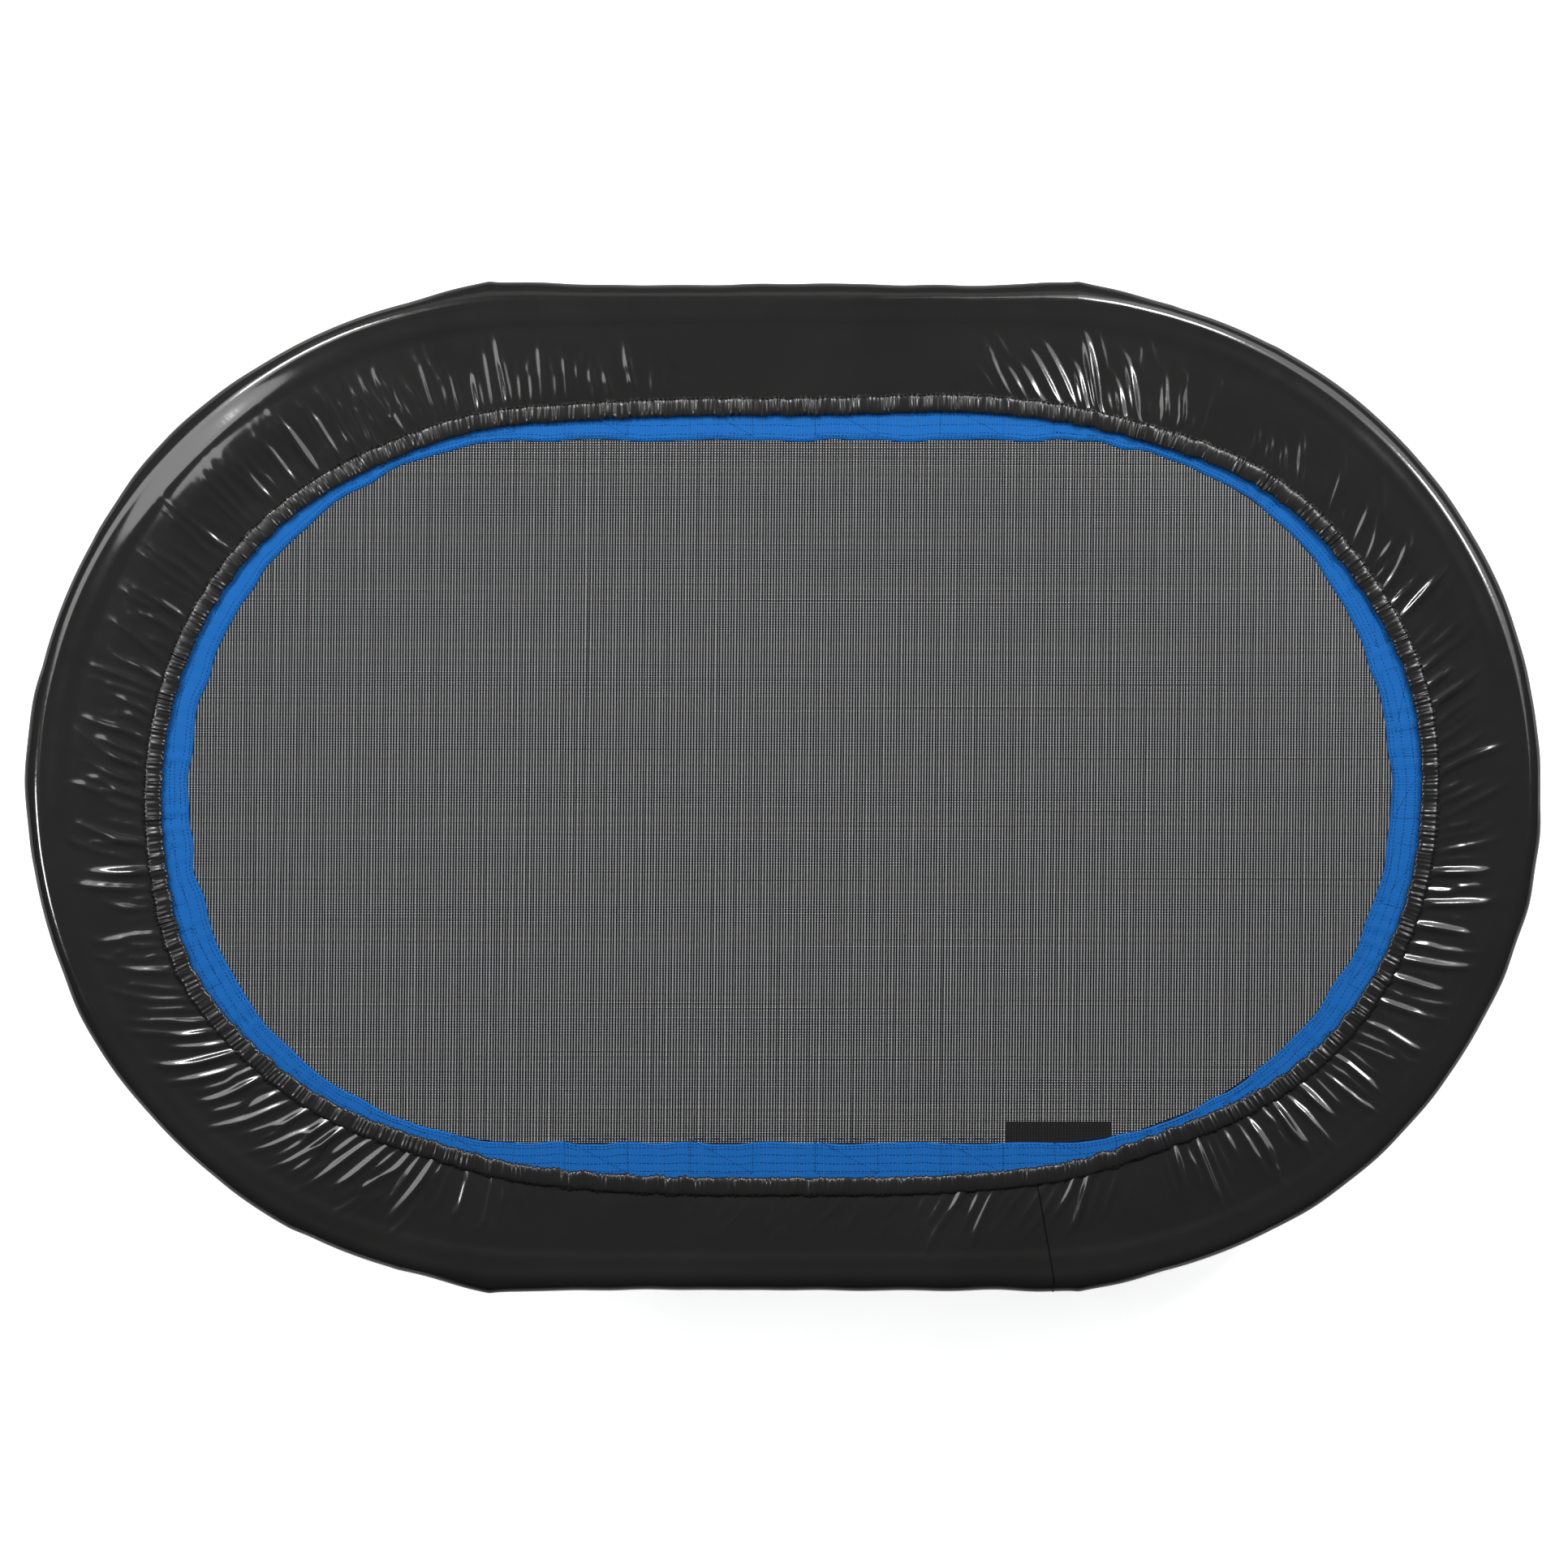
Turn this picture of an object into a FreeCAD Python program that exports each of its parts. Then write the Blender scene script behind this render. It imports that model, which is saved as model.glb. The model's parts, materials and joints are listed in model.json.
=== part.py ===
import FreeCAD, Part
import math
import os

# Oval mini trampoline, millimetres. +Z is up, X runs along the oval and the origin is
# on the floor under its middle. Every ring follows one oval: a straight spine along X
# from -SPINE to +SPINE, with each outline at a constant offset from that spine.

Vector = FreeCAD.Vector

# overall size
LENGTH = 1500.0
RIM_WIDTH = 990.0
HEIGHT = 230.0

# cover cloth
SKIN = 1.0
SKIN_GAP = 0.3
SKIRT_DROP = 26.2
HEM_DEPTH = 7.5
HEM_WIDTH = 6.5
OPENING = 371.0
CASING_WIDTH = 20.0
CASING_HEIGHT = 5.0
CASING_ABOVE_MAT = 4.8

# steel rail and its joints
RAIL_RADIUS = 14.0
RAIL_WALL = 1.5
SPIGOT_GAP = 0.2
SPIGOT_WALL = 2.0
SPIGOT_IN_SIDE_RAIL = 55.0
SPIGOT_IN_END_RAIL = 45.0
RAIL_BOLT_ALONG = 31.0
M6 = 3.0
M6_HOLE = 3.2
DRILL_PAST = 1.0
M6_NUT_ACROSS = 10.0
M6_NUT_DEEP = 5.0
M6_PAST_NUT = 1.0
BOLT_HEAD_RADIUS = 7.0
BOLT_HEAD_DEEP = 3.5
BOLT_HEAD_EDGE = 1.0
BUMP_RADIUS = 9.5
BUMP_HEIGHT = 6.0

# jumping mat
MAT_OFFSET = 386.0
MAT_THICK = 1.0
WEBBING_INNER = 345.0
WEBBING_OUTER = 388.0
WEBBING_THICK = 1.5
TAG_SIZE = (106.0, 22.0, 0.8)
TAG_CENTRE = (272.0, -342.0)

# straps and rings round the mat
STRAP_INNER = 352.0
STRAP_SEWN_WIDTH = 60.0
STRAP_LOOP_WIDTH = 25.0
STRAP_THICK = 1.5
LOOP_OFFSET = 392.5
LOOP_RADIUS = 3.5
RING_WIRE = 1.6
RING_HALF_WIDTH = 20.0
RING_DEPTH = 15.0

# steel springs
SIDE_SPRING_X = (-186.0, -62.0, 62.0, 186.0)
END_SPRINGS = 13
COIL_RADIUS = 7.0
COIL_WALL = 2.4
COIL_START = 415.0
COIL_LENGTH = 34.0
HOOK_WIRE = 1.2
HOOK_DROP = 6.0
HOOK_HOLE = 3.5
HOOK_IN_COIL = 1.0

# folding legs
LEG_OFFSET = 467.0
CORNER_LEG_X = 300.0
LEG_RADIUS = 12.5
LEG_WALL = 1.5
LEG_ABOVE_PIVOT = 14.0
CAP_FLOOR = 5.0
CAP_HEIGHT = 34.0
CAP_TOP_RADIUS = 15.5
CAP_FOOT_RADIUS = 17.0
CAP_FOOT_HEIGHT = 6.0
CAP_TAPER_TOP = 10.0
CAP_EDGE = 1.0
CAP_GROOVE_RADIUS = 11.0
CAP_GROOVE = 1.0

# leg brackets
CHEEK_GAP = 0.5
CHEEK = 3.0
CHEEK_HALF_WIDTH = 18.0
CHEEK_BELOW_PIVOT = 10.0
WEB = 4.0
SADDLE = 1.0
WEB_ABOVE_PIVOT = 22.0
TONGUE_HALF_WIDTH = 6.4
TONGUE_START = 24.0
M8 = 4.0
M8_LEG_HOLE = 4.08
M8_CHEEK_HOLE = 4.1
M8_ACROSS = 13.0
M8_HEAD_DEEP = 5.3
M8_NUT_DEEP = 6.5
M8_PAST_NUT = 2.0

# snap buttons
BUTTON_BELOW_PIVOT = 42.0
BUTTON_RADIUS = 4.0
BUTTON_HOLE = 4.3
BUTTON_TRAVEL = 6.5
BUTTON_DOME = 1.5
FLANGE_RADIUS = 5.2
FLANGE_THICK = 2.1
FLANGE_FACE = 9.5
LEAF = 0.8
LEAF_WIDTH = 8.0
LEAF_FACE = 7.2
LEAF_BACK = 10.0
LEAF_BELOW_BUTTON = 22.0
LEAF_ABOVE_BUTTON = 6.0

# worked out from the sizes above
RIM = RIM_WIDTH / 2
SPINE = LENGTH / 2 - RIM
SKIN_INSIDE = RAIL_RADIUS + SKIN_GAP
SKIN_OUTSIDE = SKIN_INSIDE + SKIN
RAIL_OFFSET = RIM - SKIN_OUTSIDE
RAIL_Z = HEIGHT - SKIN_OUTSIDE
RAIL_INSIDE = RAIL_OFFSET - RAIL_RADIUS
RAIL_OUTSIDE = RAIL_OFFSET + RAIL_RADIUS
BORE = RAIL_RADIUS - RAIL_WALL
MAT_TOP = RAIL_Z + MAT_THICK / 2
MAT_BOTTOM = RAIL_Z - MAT_THICK / 2
WEB_TOP = RAIL_Z - RAIL_RADIUS + SADDLE
PIVOT_Z = WEB_TOP - WEB - WEB_ABOVE_PIVOT
BUTTON_Z = PIVOT_Z - BUTTON_BELOW_PIVOT
BOLT_ANGLE = 90.0 - math.degrees(math.asin(RAIL_BOLT_ALONG / RAIL_OFFSET))
CHEEK_INSIDE = LEG_RADIUS + CHEEK_GAP
CHEEK_OUTSIDE = CHEEK_INSIDE + CHEEK
SIDES = {"front": -1, "rear": 1}
ENDS = {"left": -1, "right": 1}

# leg name: (x, y, side of the leg that its button is on)
LEGS = {
    "front_left": (-CORNER_LEG_X, -LEG_OFFSET, -1),
    "front_right": (CORNER_LEG_X, -LEG_OFFSET, -1),
    "rear_left": (-CORNER_LEG_X, LEG_OFFSET, 1),
    "rear_right": (CORNER_LEG_X, LEG_OFFSET, 1),
    "left_end": (-SPINE - LEG_OFFSET, 0.0, -1),
    "right_end": (SPINE + LEG_OFFSET, 0.0, -1),
}


def save(name, *solids):
    """Writes one node, as a single solid or as a group of separate ones."""
    shape = solids[0] if len(solids) == 1 else Part.makeCompound(list(solids))
    if not shape.isValid():
        raise ValueError(f"{name} is not a valid shape")
    shape.exportStep(f"parts/{name}.step")


def rod(start, end, radius):
    """A round bar between two points."""
    start = Vector(*start)
    direction = Vector(*end) - start
    return Part.makeCylinder(radius, direction.Length, start, direction)


def block(low, high):
    """A box between two corners."""
    size = Vector(*high) - Vector(*low)
    return Part.makeBox(size.x, size.y, size.z, Vector(*low))


def hexagon(start, end, across, bore):
    """A hexagonal nut or head along Y, with an optional bore."""
    radius = across / math.sqrt(3)
    x, y, z = start
    corners = [
        Vector(x + radius * math.cos(k * math.pi / 3), y, z + radius * math.sin(k * math.pi / 3))
        for k in range(6)
    ]
    prism = Part.Face(Part.makePolygon(corners + corners[:1])).extrude(Vector(0, end[1] - y, 0))
    return prism.cut(rod(start, end, bore)) if bore else prism


# Sections and stations. A section is a face in the XZ plane, with its offset from the
# spine along +X. A station is (x on the spine, angle of the outward direction).


def polyline(points):
    """Straight edges between section points."""
    return Part.makePolygon([Vector(offset, 0, z) for offset, z in points]).Edges


def polygon_section(points):
    """A section with straight edges, from (offset, height) points."""
    corners = [Vector(offset, 0, z) for offset, z in points]
    return Part.Face(Part.makePolygon(corners + corners[:1]))


def box_section(inner, outer, bottom, top):
    """A rectangular section."""
    return polygon_section([(inner, bottom), (outer, bottom), (outer, top), (inner, top)])


def round_section(offset, z, radius):
    """A round section."""
    circle = Part.Circle(Vector(offset, 0, z), Vector(0, 1, 0), radius)
    return Part.Face(Part.Wire(circle.toShape()))


def tube_section(outer, wall):
    """The section of a tube on the rail's line."""
    inner = round_section(RAIL_OFFSET, RAIL_Z, outer - wall)
    return round_section(RAIL_OFFSET, RAIL_Z, outer).cut(inner)


def straight(section, side, x0, x1):
    """Sweeps a section along one long side of the oval."""
    face = section.copy()
    face.rotate(Vector(0, 0, 0), Vector(0, 0, 1), 90 * side)
    face.translate(Vector(x0, 0, 0))
    return face.extrude(Vector(x1 - x0, 0, 0))


def bend(section, end, angle0, angle1):
    """Sweeps a section round one end of the oval, between two angles from its tip."""
    face = section.copy()
    middle = 0 if end > 0 else 180
    face.rotate(Vector(0, 0, 0), Vector(0, 0, 1), middle + angle0)
    swept = face.revolve(Vector(0, 0, 0), Vector(0, 0, 1), angle1 - angle0)
    swept.translate(Vector(end * SPINE, 0, 0))
    return swept


def solid_of(shape):
    """The one solid that a boolean operation made."""
    solids = shape.Solids
    if len(solids) != 1:
        raise ValueError(f"expected one solid and found {len(solids)}")
    return solids[0]


def ring(section):
    """Sweeps a section all the way round the oval."""
    sides = [straight(section, side, -SPINE, SPINE) for side in SIDES.values()]
    ends = [bend(section, end, -90, 90) for end in ENDS.values()]
    return solid_of(sides[0].fuse([sides[1], *ends]).removeSplitter())


def at(shape, station):
    """Copies a shape that was made along +X from the origin to a station."""
    x, angle = station
    placed = shape.copy()
    placed.rotate(Vector(0, 0, 0), Vector(0, 0, 1), angle)
    placed.translate(Vector(x, 0, 0))
    return placed


def spring_stations():
    """The springs' stations, by the part of the oval that they are on."""
    stations = {name: [(x, 90 * side) for x in SIDE_SPRING_X] for name, side in SIDES.items()}
    step = 180 / END_SPRINGS
    for name, end in ENDS.items():
        middle = 0 if end > 0 else 180
        angles = [middle + (k - (END_SPRINGS - 1) / 2) * step for k in range(END_SPRINGS)]
        stations[name] = [(end * SPINE, angle) for angle in angles]
    return stations


def bolt_stations():
    """The four rail bolts' stations, one at each end of each end rail."""
    return {
        end: [(end * SPINE, middle + sign * BOLT_ANGLE) for sign in (-1, 1)]
        for end, middle in ((1, 0), (-1, 180))
    }


def bolt_hole():
    """A joint bolt's hole right through the rail."""
    inner, outer = RAIL_INSIDE - DRILL_PAST, RAIL_OUTSIDE + DRILL_PAST
    return rod((inner, 0, RAIL_Z), (outer, 0, RAIL_Z), M6_HOLE)


def make_rails(springs, bolts):
    """Four rail sections, drilled for the spring hooks and the joint bolts."""
    section = tube_section(RAIL_RADIUS, RAIL_WALL)
    hook_hole = rod(
        (RAIL_INSIDE - RAIL_WALL, 0, RAIL_Z), (RAIL_INSIDE + 3 * RAIL_WALL, 0, RAIL_Z), HOOK_HOLE
    )
    for name, side in SIDES.items():
        rail = straight(section, side, -SPINE, SPINE)
        save(f"{name}_side_rail", solid_of(rail.cut([at(hook_hole, s) for s in springs[name]])))
    for name, end in ENDS.items():
        rail = bend(section, end, -90, 90)
        holes = [at(hook_hole, s) for s in springs[name]]
        holes += [at(bolt_hole(), s) for s in bolts[end]]
        save(f"{name}_end_rail", solid_of(rail.cut(holes)))


def make_spigots(bolts):
    """Four inner sleeves that join the rails, half straight and half curved."""
    section = tube_section(BORE - SPIGOT_GAP, SPIGOT_WALL)
    sweep = math.degrees(SPIGOT_IN_END_RAIL / RAIL_OFFSET)
    for side_name, side in SIDES.items():
        for end_name, end in ENDS.items():
            ends_x = sorted((end * SPINE, end * (SPINE - SPIGOT_IN_SIDE_RAIL)))
            in_side_rail = straight(section, side, *ends_x)
            edge = 90 * side * end
            inward = edge - math.copysign(sweep, edge)
            in_end_rail = bend(section, end, *sorted((edge, inward)))
            spigot = in_side_rail.fuse(in_end_rail).removeSplitter()
            spigot = solid_of(spigot.cut([at(bolt_hole(), s) for s in bolts[end]]))
            save(f"{side_name}_{end_name}_spigot", spigot)


def make_rail_fasteners(bolts):
    """Mushroom-head bolts through the rail joints, with nuts on the inside."""
    stations = [s for pair in bolts.values() for s in pair]
    seat = RAIL_OUTSIDE + SKIN_GAP
    nut_face = RAIL_INSIDE - SKIN_GAP
    tail = nut_face - M6_NUT_DEEP - M6_PAST_NUT
    outline = [
        (0, tail),
        (M6, tail),
        (M6, seat),
        (BOLT_HEAD_RADIUS, seat),
        (BOLT_HEAD_RADIUS, seat + BOLT_HEAD_EDGE),
    ]
    bolt = domed(outline, seat + BOLT_HEAD_DEEP)
    bolt.rotate(Vector(0, 0, 0), Vector(0, 1, 0), 90)
    bolt.translate(Vector(0, 0, RAIL_Z))
    nut = hexagon((0, -nut_face, RAIL_Z), (0, M6_NUT_DEEP - nut_face, RAIL_Z), M6_NUT_ACROSS, M6)
    nut.rotate(Vector(0, 0, 0), Vector(0, 0, 1), 90)
    save("rail_bolts", *[at(bolt, s) for s in stations])
    save("rail_nuts", *[at(nut, s) for s in stations])


def domed(outline, tip):
    """Turns an outline of (radius, height) points about Z, closed by a dome up to its tip."""
    rim_radius, rim_z = outline[-1]
    rise = tip - rim_z
    dome_radius = (rim_radius**2 + rise**2) / (2 * rise)
    half = math.asin(rim_radius / dome_radius) / 2
    middle = (dome_radius * math.sin(half), 0, tip - dome_radius * (1 - math.cos(half)))
    dome = Part.Arc(Vector(rim_radius, 0, rim_z), Vector(*middle), Vector(0, 0, tip))
    axis = Part.LineSegment(Vector(0, 0, tip), Vector(0, 0, outline[0][1]))
    wire = Part.Wire([*polyline(outline), dome.toShape(), axis.toShape()])
    return Part.Face(wire).revolve(Vector(0, 0, 0), Vector(0, 0, 1), 360)


def arc_between(start, end, radius):
    """A quarter of the circle round the rail's centre, between two section points."""
    reach = radius * math.sqrt(0.5)
    middle = Vector(RAIL_OFFSET + reach, 0, RAIL_Z + reach)
    return Part.Arc(Vector(start[0], 0, start[1]), middle, Vector(end[0], 0, end[1])).toShape()


def cover_section():
    """The cover cloth's section: inner casing, slope, wrap over the rail, skirt and hem."""
    casing_bottom = MAT_TOP + CASING_ABOVE_MAT - MAT_THICK / 2
    casing_top = casing_bottom + CASING_HEIGHT
    casing_outer = OPENING + CASING_WIDTH
    skirt_bottom = RAIL_Z - SKIRT_DROP
    hem_top = skirt_bottom + HEM_DEPTH
    crest = (RAIL_OFFSET, HEIGHT)
    inner_crest = (RAIL_OFFSET, HEIGHT - SKIN)
    brim = (RIM, RAIL_Z)
    inner_brim = (RIM - SKIN, RAIL_Z)
    edges = [
        arc_between(crest, brim, SKIN_OUTSIDE),
        *polyline([
            brim,
            (RIM, skirt_bottom),
            (RIM - HEM_WIDTH, skirt_bottom),
            (RIM - HEM_WIDTH, hem_top),
            (RIM - SKIN, hem_top),
            inner_brim,
        ]),
        arc_between(inner_brim, inner_crest, SKIN_INSIDE),
        *polyline([
            inner_crest,
            (casing_outer, casing_top - SKIN),
            (casing_outer, casing_bottom),
            (OPENING, casing_bottom),
            (OPENING, casing_top),
            (casing_outer, casing_top),
            crest,
        ]),
    ]
    casing_hole = box_section(
        OPENING + SKIN, casing_outer - SKIN, casing_bottom + SKIN, casing_top - SKIN
    )
    hem_hole = box_section(
        RIM - HEM_WIDTH + SKIN, RIM - SKIN, skirt_bottom + SKIN, hem_top - SKIN
    )
    section = Part.Face(Part.Wire(edges)).cut([casing_hole, hem_hole])
    return section.Faces[0], casing_bottom, skirt_bottom


def make_cover(bolts):
    """The cover cloth, raised over the four bolt heads, and its two elastics."""
    section, casing_bottom, skirt_bottom = cover_section()
    cover = ring(section)
    rail_space = ring(round_section(RAIL_OFFSET, RAIL_Z, SKIN_INSIDE))
    bump = rod((RAIL_OFFSET, 0, RAIL_Z), (RIM + BUMP_HEIGHT, 0, RAIL_Z), BUMP_RADIUS)
    hollow = rod(
        (RAIL_OFFSET, 0, RAIL_Z), (RIM + BUMP_HEIGHT - SKIN, 0, RAIL_Z), BUMP_RADIUS - SKIN
    )
    for pair in bolts.values():
        for station in pair:
            cover = cover.fuse(at(bump, station).cut(rail_space)).cut(at(hollow, station))
    save("cover_skin", solid_of(cover))
    gap = SKIN / 2
    inner = box_section(
        OPENING + SKIN + gap,
        OPENING + CASING_WIDTH - SKIN - gap,
        casing_bottom + SKIN + gap,
        casing_bottom + CASING_HEIGHT - SKIN - gap,
    )
    save("inner_elastic", ring(inner))
    outer = box_section(
        RIM - HEM_WIDTH + SKIN + gap,
        RIM - SKIN - gap,
        skirt_bottom + SKIN + gap,
        skirt_bottom + HEM_DEPTH - SKIN - gap,
    )
    save("hem_elastic", ring(outer))


def make_mat():
    """The woven mat, its two edge webbings and the tag sewn under a strap at its edge."""
    side = box_section(0, MAT_OFFSET, MAT_BOTTOM, MAT_TOP)
    sides = [straight(side, s, -SPINE, SPINE) for s in SIDES.values()]
    discs = [
        Part.makeCylinder(MAT_OFFSET, MAT_THICK, Vector(end * SPINE, 0, MAT_BOTTOM))
        for end in ENDS.values()
    ]
    save("jump_mat", solid_of(sides[0].fuse([sides[1], *discs]).removeSplitter()))
    top = box_section(WEBBING_INNER, WEBBING_OUTER, MAT_TOP, MAT_TOP + WEBBING_THICK)
    bottom = box_section(WEBBING_INNER, WEBBING_OUTER, MAT_BOTTOM - WEBBING_THICK, MAT_BOTTOM)
    save("edge_webbing_top", ring(top))
    save("edge_webbing_bottom", ring(bottom))
    length, width, thick = TAG_SIZE
    x, y = TAG_CENTRE
    tag_top = RAIL_Z - LOOP_RADIUS
    low = (x - length / 2, y - width / 2, tag_top - thick)
    save("sewn_tag", block(low, (x + length / 2, y + width / 2, tag_top)))


def make_strap():
    """One strap: tails splayed and sewn under the webbing, and a loop round the ring's bar."""
    loop_bottom = RAIL_Z - LOOP_RADIUS
    half_loop = STRAP_LOOP_WIDTH / 2
    half_sewn = STRAP_SEWN_WIDTH / 2
    outline = [
        Vector(STRAP_INNER, -half_sewn, loop_bottom),
        Vector(WEBBING_OUTER, -half_loop, loop_bottom),
        Vector(LOOP_OFFSET, -half_loop, loop_bottom),
        Vector(LOOP_OFFSET, half_loop, loop_bottom),
        Vector(WEBBING_OUTER, half_loop, loop_bottom),
        Vector(STRAP_INNER, half_sewn, loop_bottom),
    ]
    tails = Part.Face(Part.makePolygon(outline + outline[:1]))
    tails = tails.extrude(Vector(0, 0, STRAP_THICK))
    ends = ((LOOP_OFFSET, -half_loop, RAIL_Z), (LOOP_OFFSET, half_loop, RAIL_Z))
    loop = tails.fuse(rod(*ends, LOOP_RADIUS))
    return solid_of(loop.cut(rod(*ends, LOOP_RADIUS - STRAP_THICK)))


def make_ring():
    """One triangular wire ring: a bar in the strap's loop and an apex for the spring."""
    corners = [
        (LOOP_OFFSET, -RING_HALF_WIDTH, RAIL_Z),
        (LOOP_OFFSET, RING_HALF_WIDTH, RAIL_Z),
        (LOOP_OFFSET + RING_DEPTH, 0, RAIL_Z),
    ]
    balls = [Part.makeSphere(RING_WIRE, Vector(*c)) for c in corners]
    bars = [rod(a, b, RING_WIRE) for a, b in zip(corners, corners[1:] + corners[:1])]
    return solid_of(bars[0].fuse([*bars[1:], *balls]))


def make_spring():
    """One spring: a coil body with a hook over the ring and a hook into the rail."""
    coil_end = COIL_START + COIL_LENGTH
    body = rod((COIL_START, 0, RAIL_Z), (coil_end, 0, RAIL_Z), COIL_RADIUS)
    inside = rod(
        (COIL_START + COIL_WALL, 0, RAIL_Z),
        (coil_end - COIL_WALL, 0, RAIL_Z),
        COIL_RADIUS - COIL_WALL,
    )
    over = RAIL_Z + RING_WIRE + HOOK_WIRE + SKIN_GAP
    behind_ring = LOOP_OFFSET + RING_DEPTH - 2 * (RING_WIRE + HOOK_WIRE)
    in_rail = RAIL_INSIDE + RAIL_WALL + HOOK_DROP
    runs = [
        [(COIL_START + HOOK_IN_COIL, 0, over), (behind_ring, 0, over), (behind_ring, 0, over - HOOK_DROP)],
        [(coil_end - HOOK_IN_COIL, 0, RAIL_Z), (in_rail, 0, RAIL_Z), (in_rail, 0, RAIL_Z - HOOK_DROP)],
    ]
    hooks = []
    for start, corner, tip in runs:
        hooks += [rod(start, corner, HOOK_WIRE), rod(corner, tip, HOOK_WIRE)]
        hooks += [Part.makeSphere(HOOK_WIRE, Vector(*corner))]
    return solid_of(body.cut(inside).fuse(hooks))


def make_suspension(springs):
    """The straps and rings as groups on the mat, and the springs as four groups."""
    stations = [s for group in springs.values() for s in group]
    strap = make_strap()
    wire_ring = make_ring()
    spring = make_spring()
    save("ring_straps", *[at(strap, s) for s in stations])
    save("mat_rings", *[at(wire_ring, s) for s in stations])
    for name, group in springs.items():
        save(f"{name}_springs", *[at(spring, s) for s in group])


def bracket(x, y, side, rail):
    """A U-shaped leg bracket welded under the rail, its button hole on one cheek."""
    half = CHEEK_HALF_WIDTH
    button = Vector(x, y, BUTTON_Z)
    outline = [
        Vector(x + TONGUE_HALF_WIDTH, y, BUTTON_Z),
        Vector(x + TONGUE_HALF_WIDTH, y, PIVOT_Z - TONGUE_START),
        Vector(x + half, y, PIVOT_Z - CHEEK_BELOW_PIVOT),
        Vector(x + half, y, WEB_TOP),
        Vector(x - half, y, WEB_TOP),
        Vector(x - half, y, PIVOT_Z - CHEEK_BELOW_PIVOT),
        Vector(x - TONGUE_HALF_WIDTH, y, PIVOT_Z - TONGUE_START),
        Vector(x - TONGUE_HALF_WIDTH, y, BUTTON_Z),
    ]
    tongue_end = Part.Arc(outline[-1], button - Vector(0, 0, TONGUE_HALF_WIDTH), outline[0])
    wire = Part.Wire([*Part.makePolygon(outline).Edges, tongue_end.toShape()])
    plate = Part.Face(wire).extrude(Vector(0, CHEEK, 0))
    cheeks = [plate.copy(), plate.copy()]
    cheeks[0].translate(Vector(0, CHEEK_INSIDE, 0))
    cheeks[1].translate(Vector(0, -CHEEK_OUTSIDE, 0))
    web = block(
        (x - half, y - CHEEK_OUTSIDE, WEB_TOP - WEB), (x + half, y + CHEEK_OUTSIDE, WEB_TOP)
    )
    pivot = rod((x, y - CHEEK_OUTSIDE, PIVOT_Z), (x, y + CHEEK_OUTSIDE, PIVOT_Z), M8_CHEEK_HOLE)
    lock = rod((x, y, BUTTON_Z), (x, y + side * CHEEK_OUTSIDE, BUTTON_Z), BUTTON_HOLE)
    return solid_of(web.fuse(cheeks).cut([pivot, lock, rail]).removeSplitter())


def leg_tube(x, y, side):
    """A leg tube, drilled for its pivot bolt and its snap button."""
    bottom, top = (x, y, CAP_FLOOR), (x, y, PIVOT_Z + LEG_ABOVE_PIVOT)
    tube = rod(bottom, top, LEG_RADIUS).cut(rod(bottom, top, LEG_RADIUS - LEG_WALL))
    pivot = rod((x, y - CHEEK_INSIDE, PIVOT_Z), (x, y + CHEEK_INSIDE, PIVOT_Z), M8_LEG_HOLE)
    lock = rod((x, y, BUTTON_Z), (x, y + side * CHEEK_INSIDE, BUTTON_Z), BUTTON_HOLE)
    return solid_of(tube.cut([pivot, lock]))


def foot_cap(x, y):
    """A rubber cap pushed on the leg, tapered, with a tread groove underneath."""
    profile = [
        (0, 0),
        (CAP_GROOVE_RADIUS - CAP_GROOVE, 0),
        (CAP_GROOVE_RADIUS, CAP_GROOVE),
        (CAP_GROOVE_RADIUS + CAP_GROOVE, 0),
        (CAP_FOOT_RADIUS - CAP_EDGE, 0),
        (CAP_FOOT_RADIUS, CAP_EDGE),
        (CAP_FOOT_RADIUS, CAP_FOOT_HEIGHT),
        (CAP_TOP_RADIUS, CAP_TAPER_TOP),
        (CAP_TOP_RADIUS, CAP_HEIGHT - CAP_EDGE),
        (CAP_TOP_RADIUS - CAP_EDGE, CAP_HEIGHT),
        (LEG_RADIUS, CAP_HEIGHT),
        (LEG_RADIUS, CAP_FLOOR),
        (0, CAP_FLOOR),
    ]
    cap = polygon_section(profile).revolve(Vector(0, 0, 0), Vector(0, 0, 1), 360)
    cap.translate(Vector(x, y, 0))
    return cap


def snap_button(x, y, side):
    """A snap button: a flange that stops inside the tube, a shank and a domed head."""
    tip = LEG_RADIUS + BUTTON_TRAVEL
    shoulder = tip - BUTTON_DOME
    outline = [
        (0, FLANGE_FACE - FLANGE_THICK),
        (FLANGE_RADIUS, FLANGE_FACE - FLANGE_THICK),
        (FLANGE_RADIUS, FLANGE_FACE),
        (BUTTON_RADIUS, FLANGE_FACE),
        (BUTTON_RADIUS, shoulder),
    ]
    button = domed(outline, tip)
    button.rotate(Vector(0, 0, 0), Vector(1, 0, 0), -90 * side)
    button.translate(Vector(x, y, BUTTON_Z))
    return button


def button_spring(x, y, side):
    """A U-shaped leaf spring in the leg, between the button and the far wall."""
    middle = (LEAF_FACE - LEAF_BACK) / 2
    radius = (LEAF_FACE + LEAF_BACK) / 2
    bend_z = BUTTON_Z - LEAF_BELOW_BUTTON
    top_z = BUTTON_Z + LEAF_ABOVE_BUTTON
    half = LEAF_WIDTH / 2

    def hairpin(r):
        low_y, high_y = sorted((y + side * (middle - r), y + side * (middle + r)))
        legs = block((x - half, low_y, bend_z), (x + half, high_y, top_z))
        centre_y = y + side * middle
        turn = rod((x - half, centre_y, bend_z), (x + half, centre_y, bend_z), r)
        return legs.fuse(turn)

    return solid_of(hairpin(radius).cut(hairpin(radius - LEAF)).removeSplitter())


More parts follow.
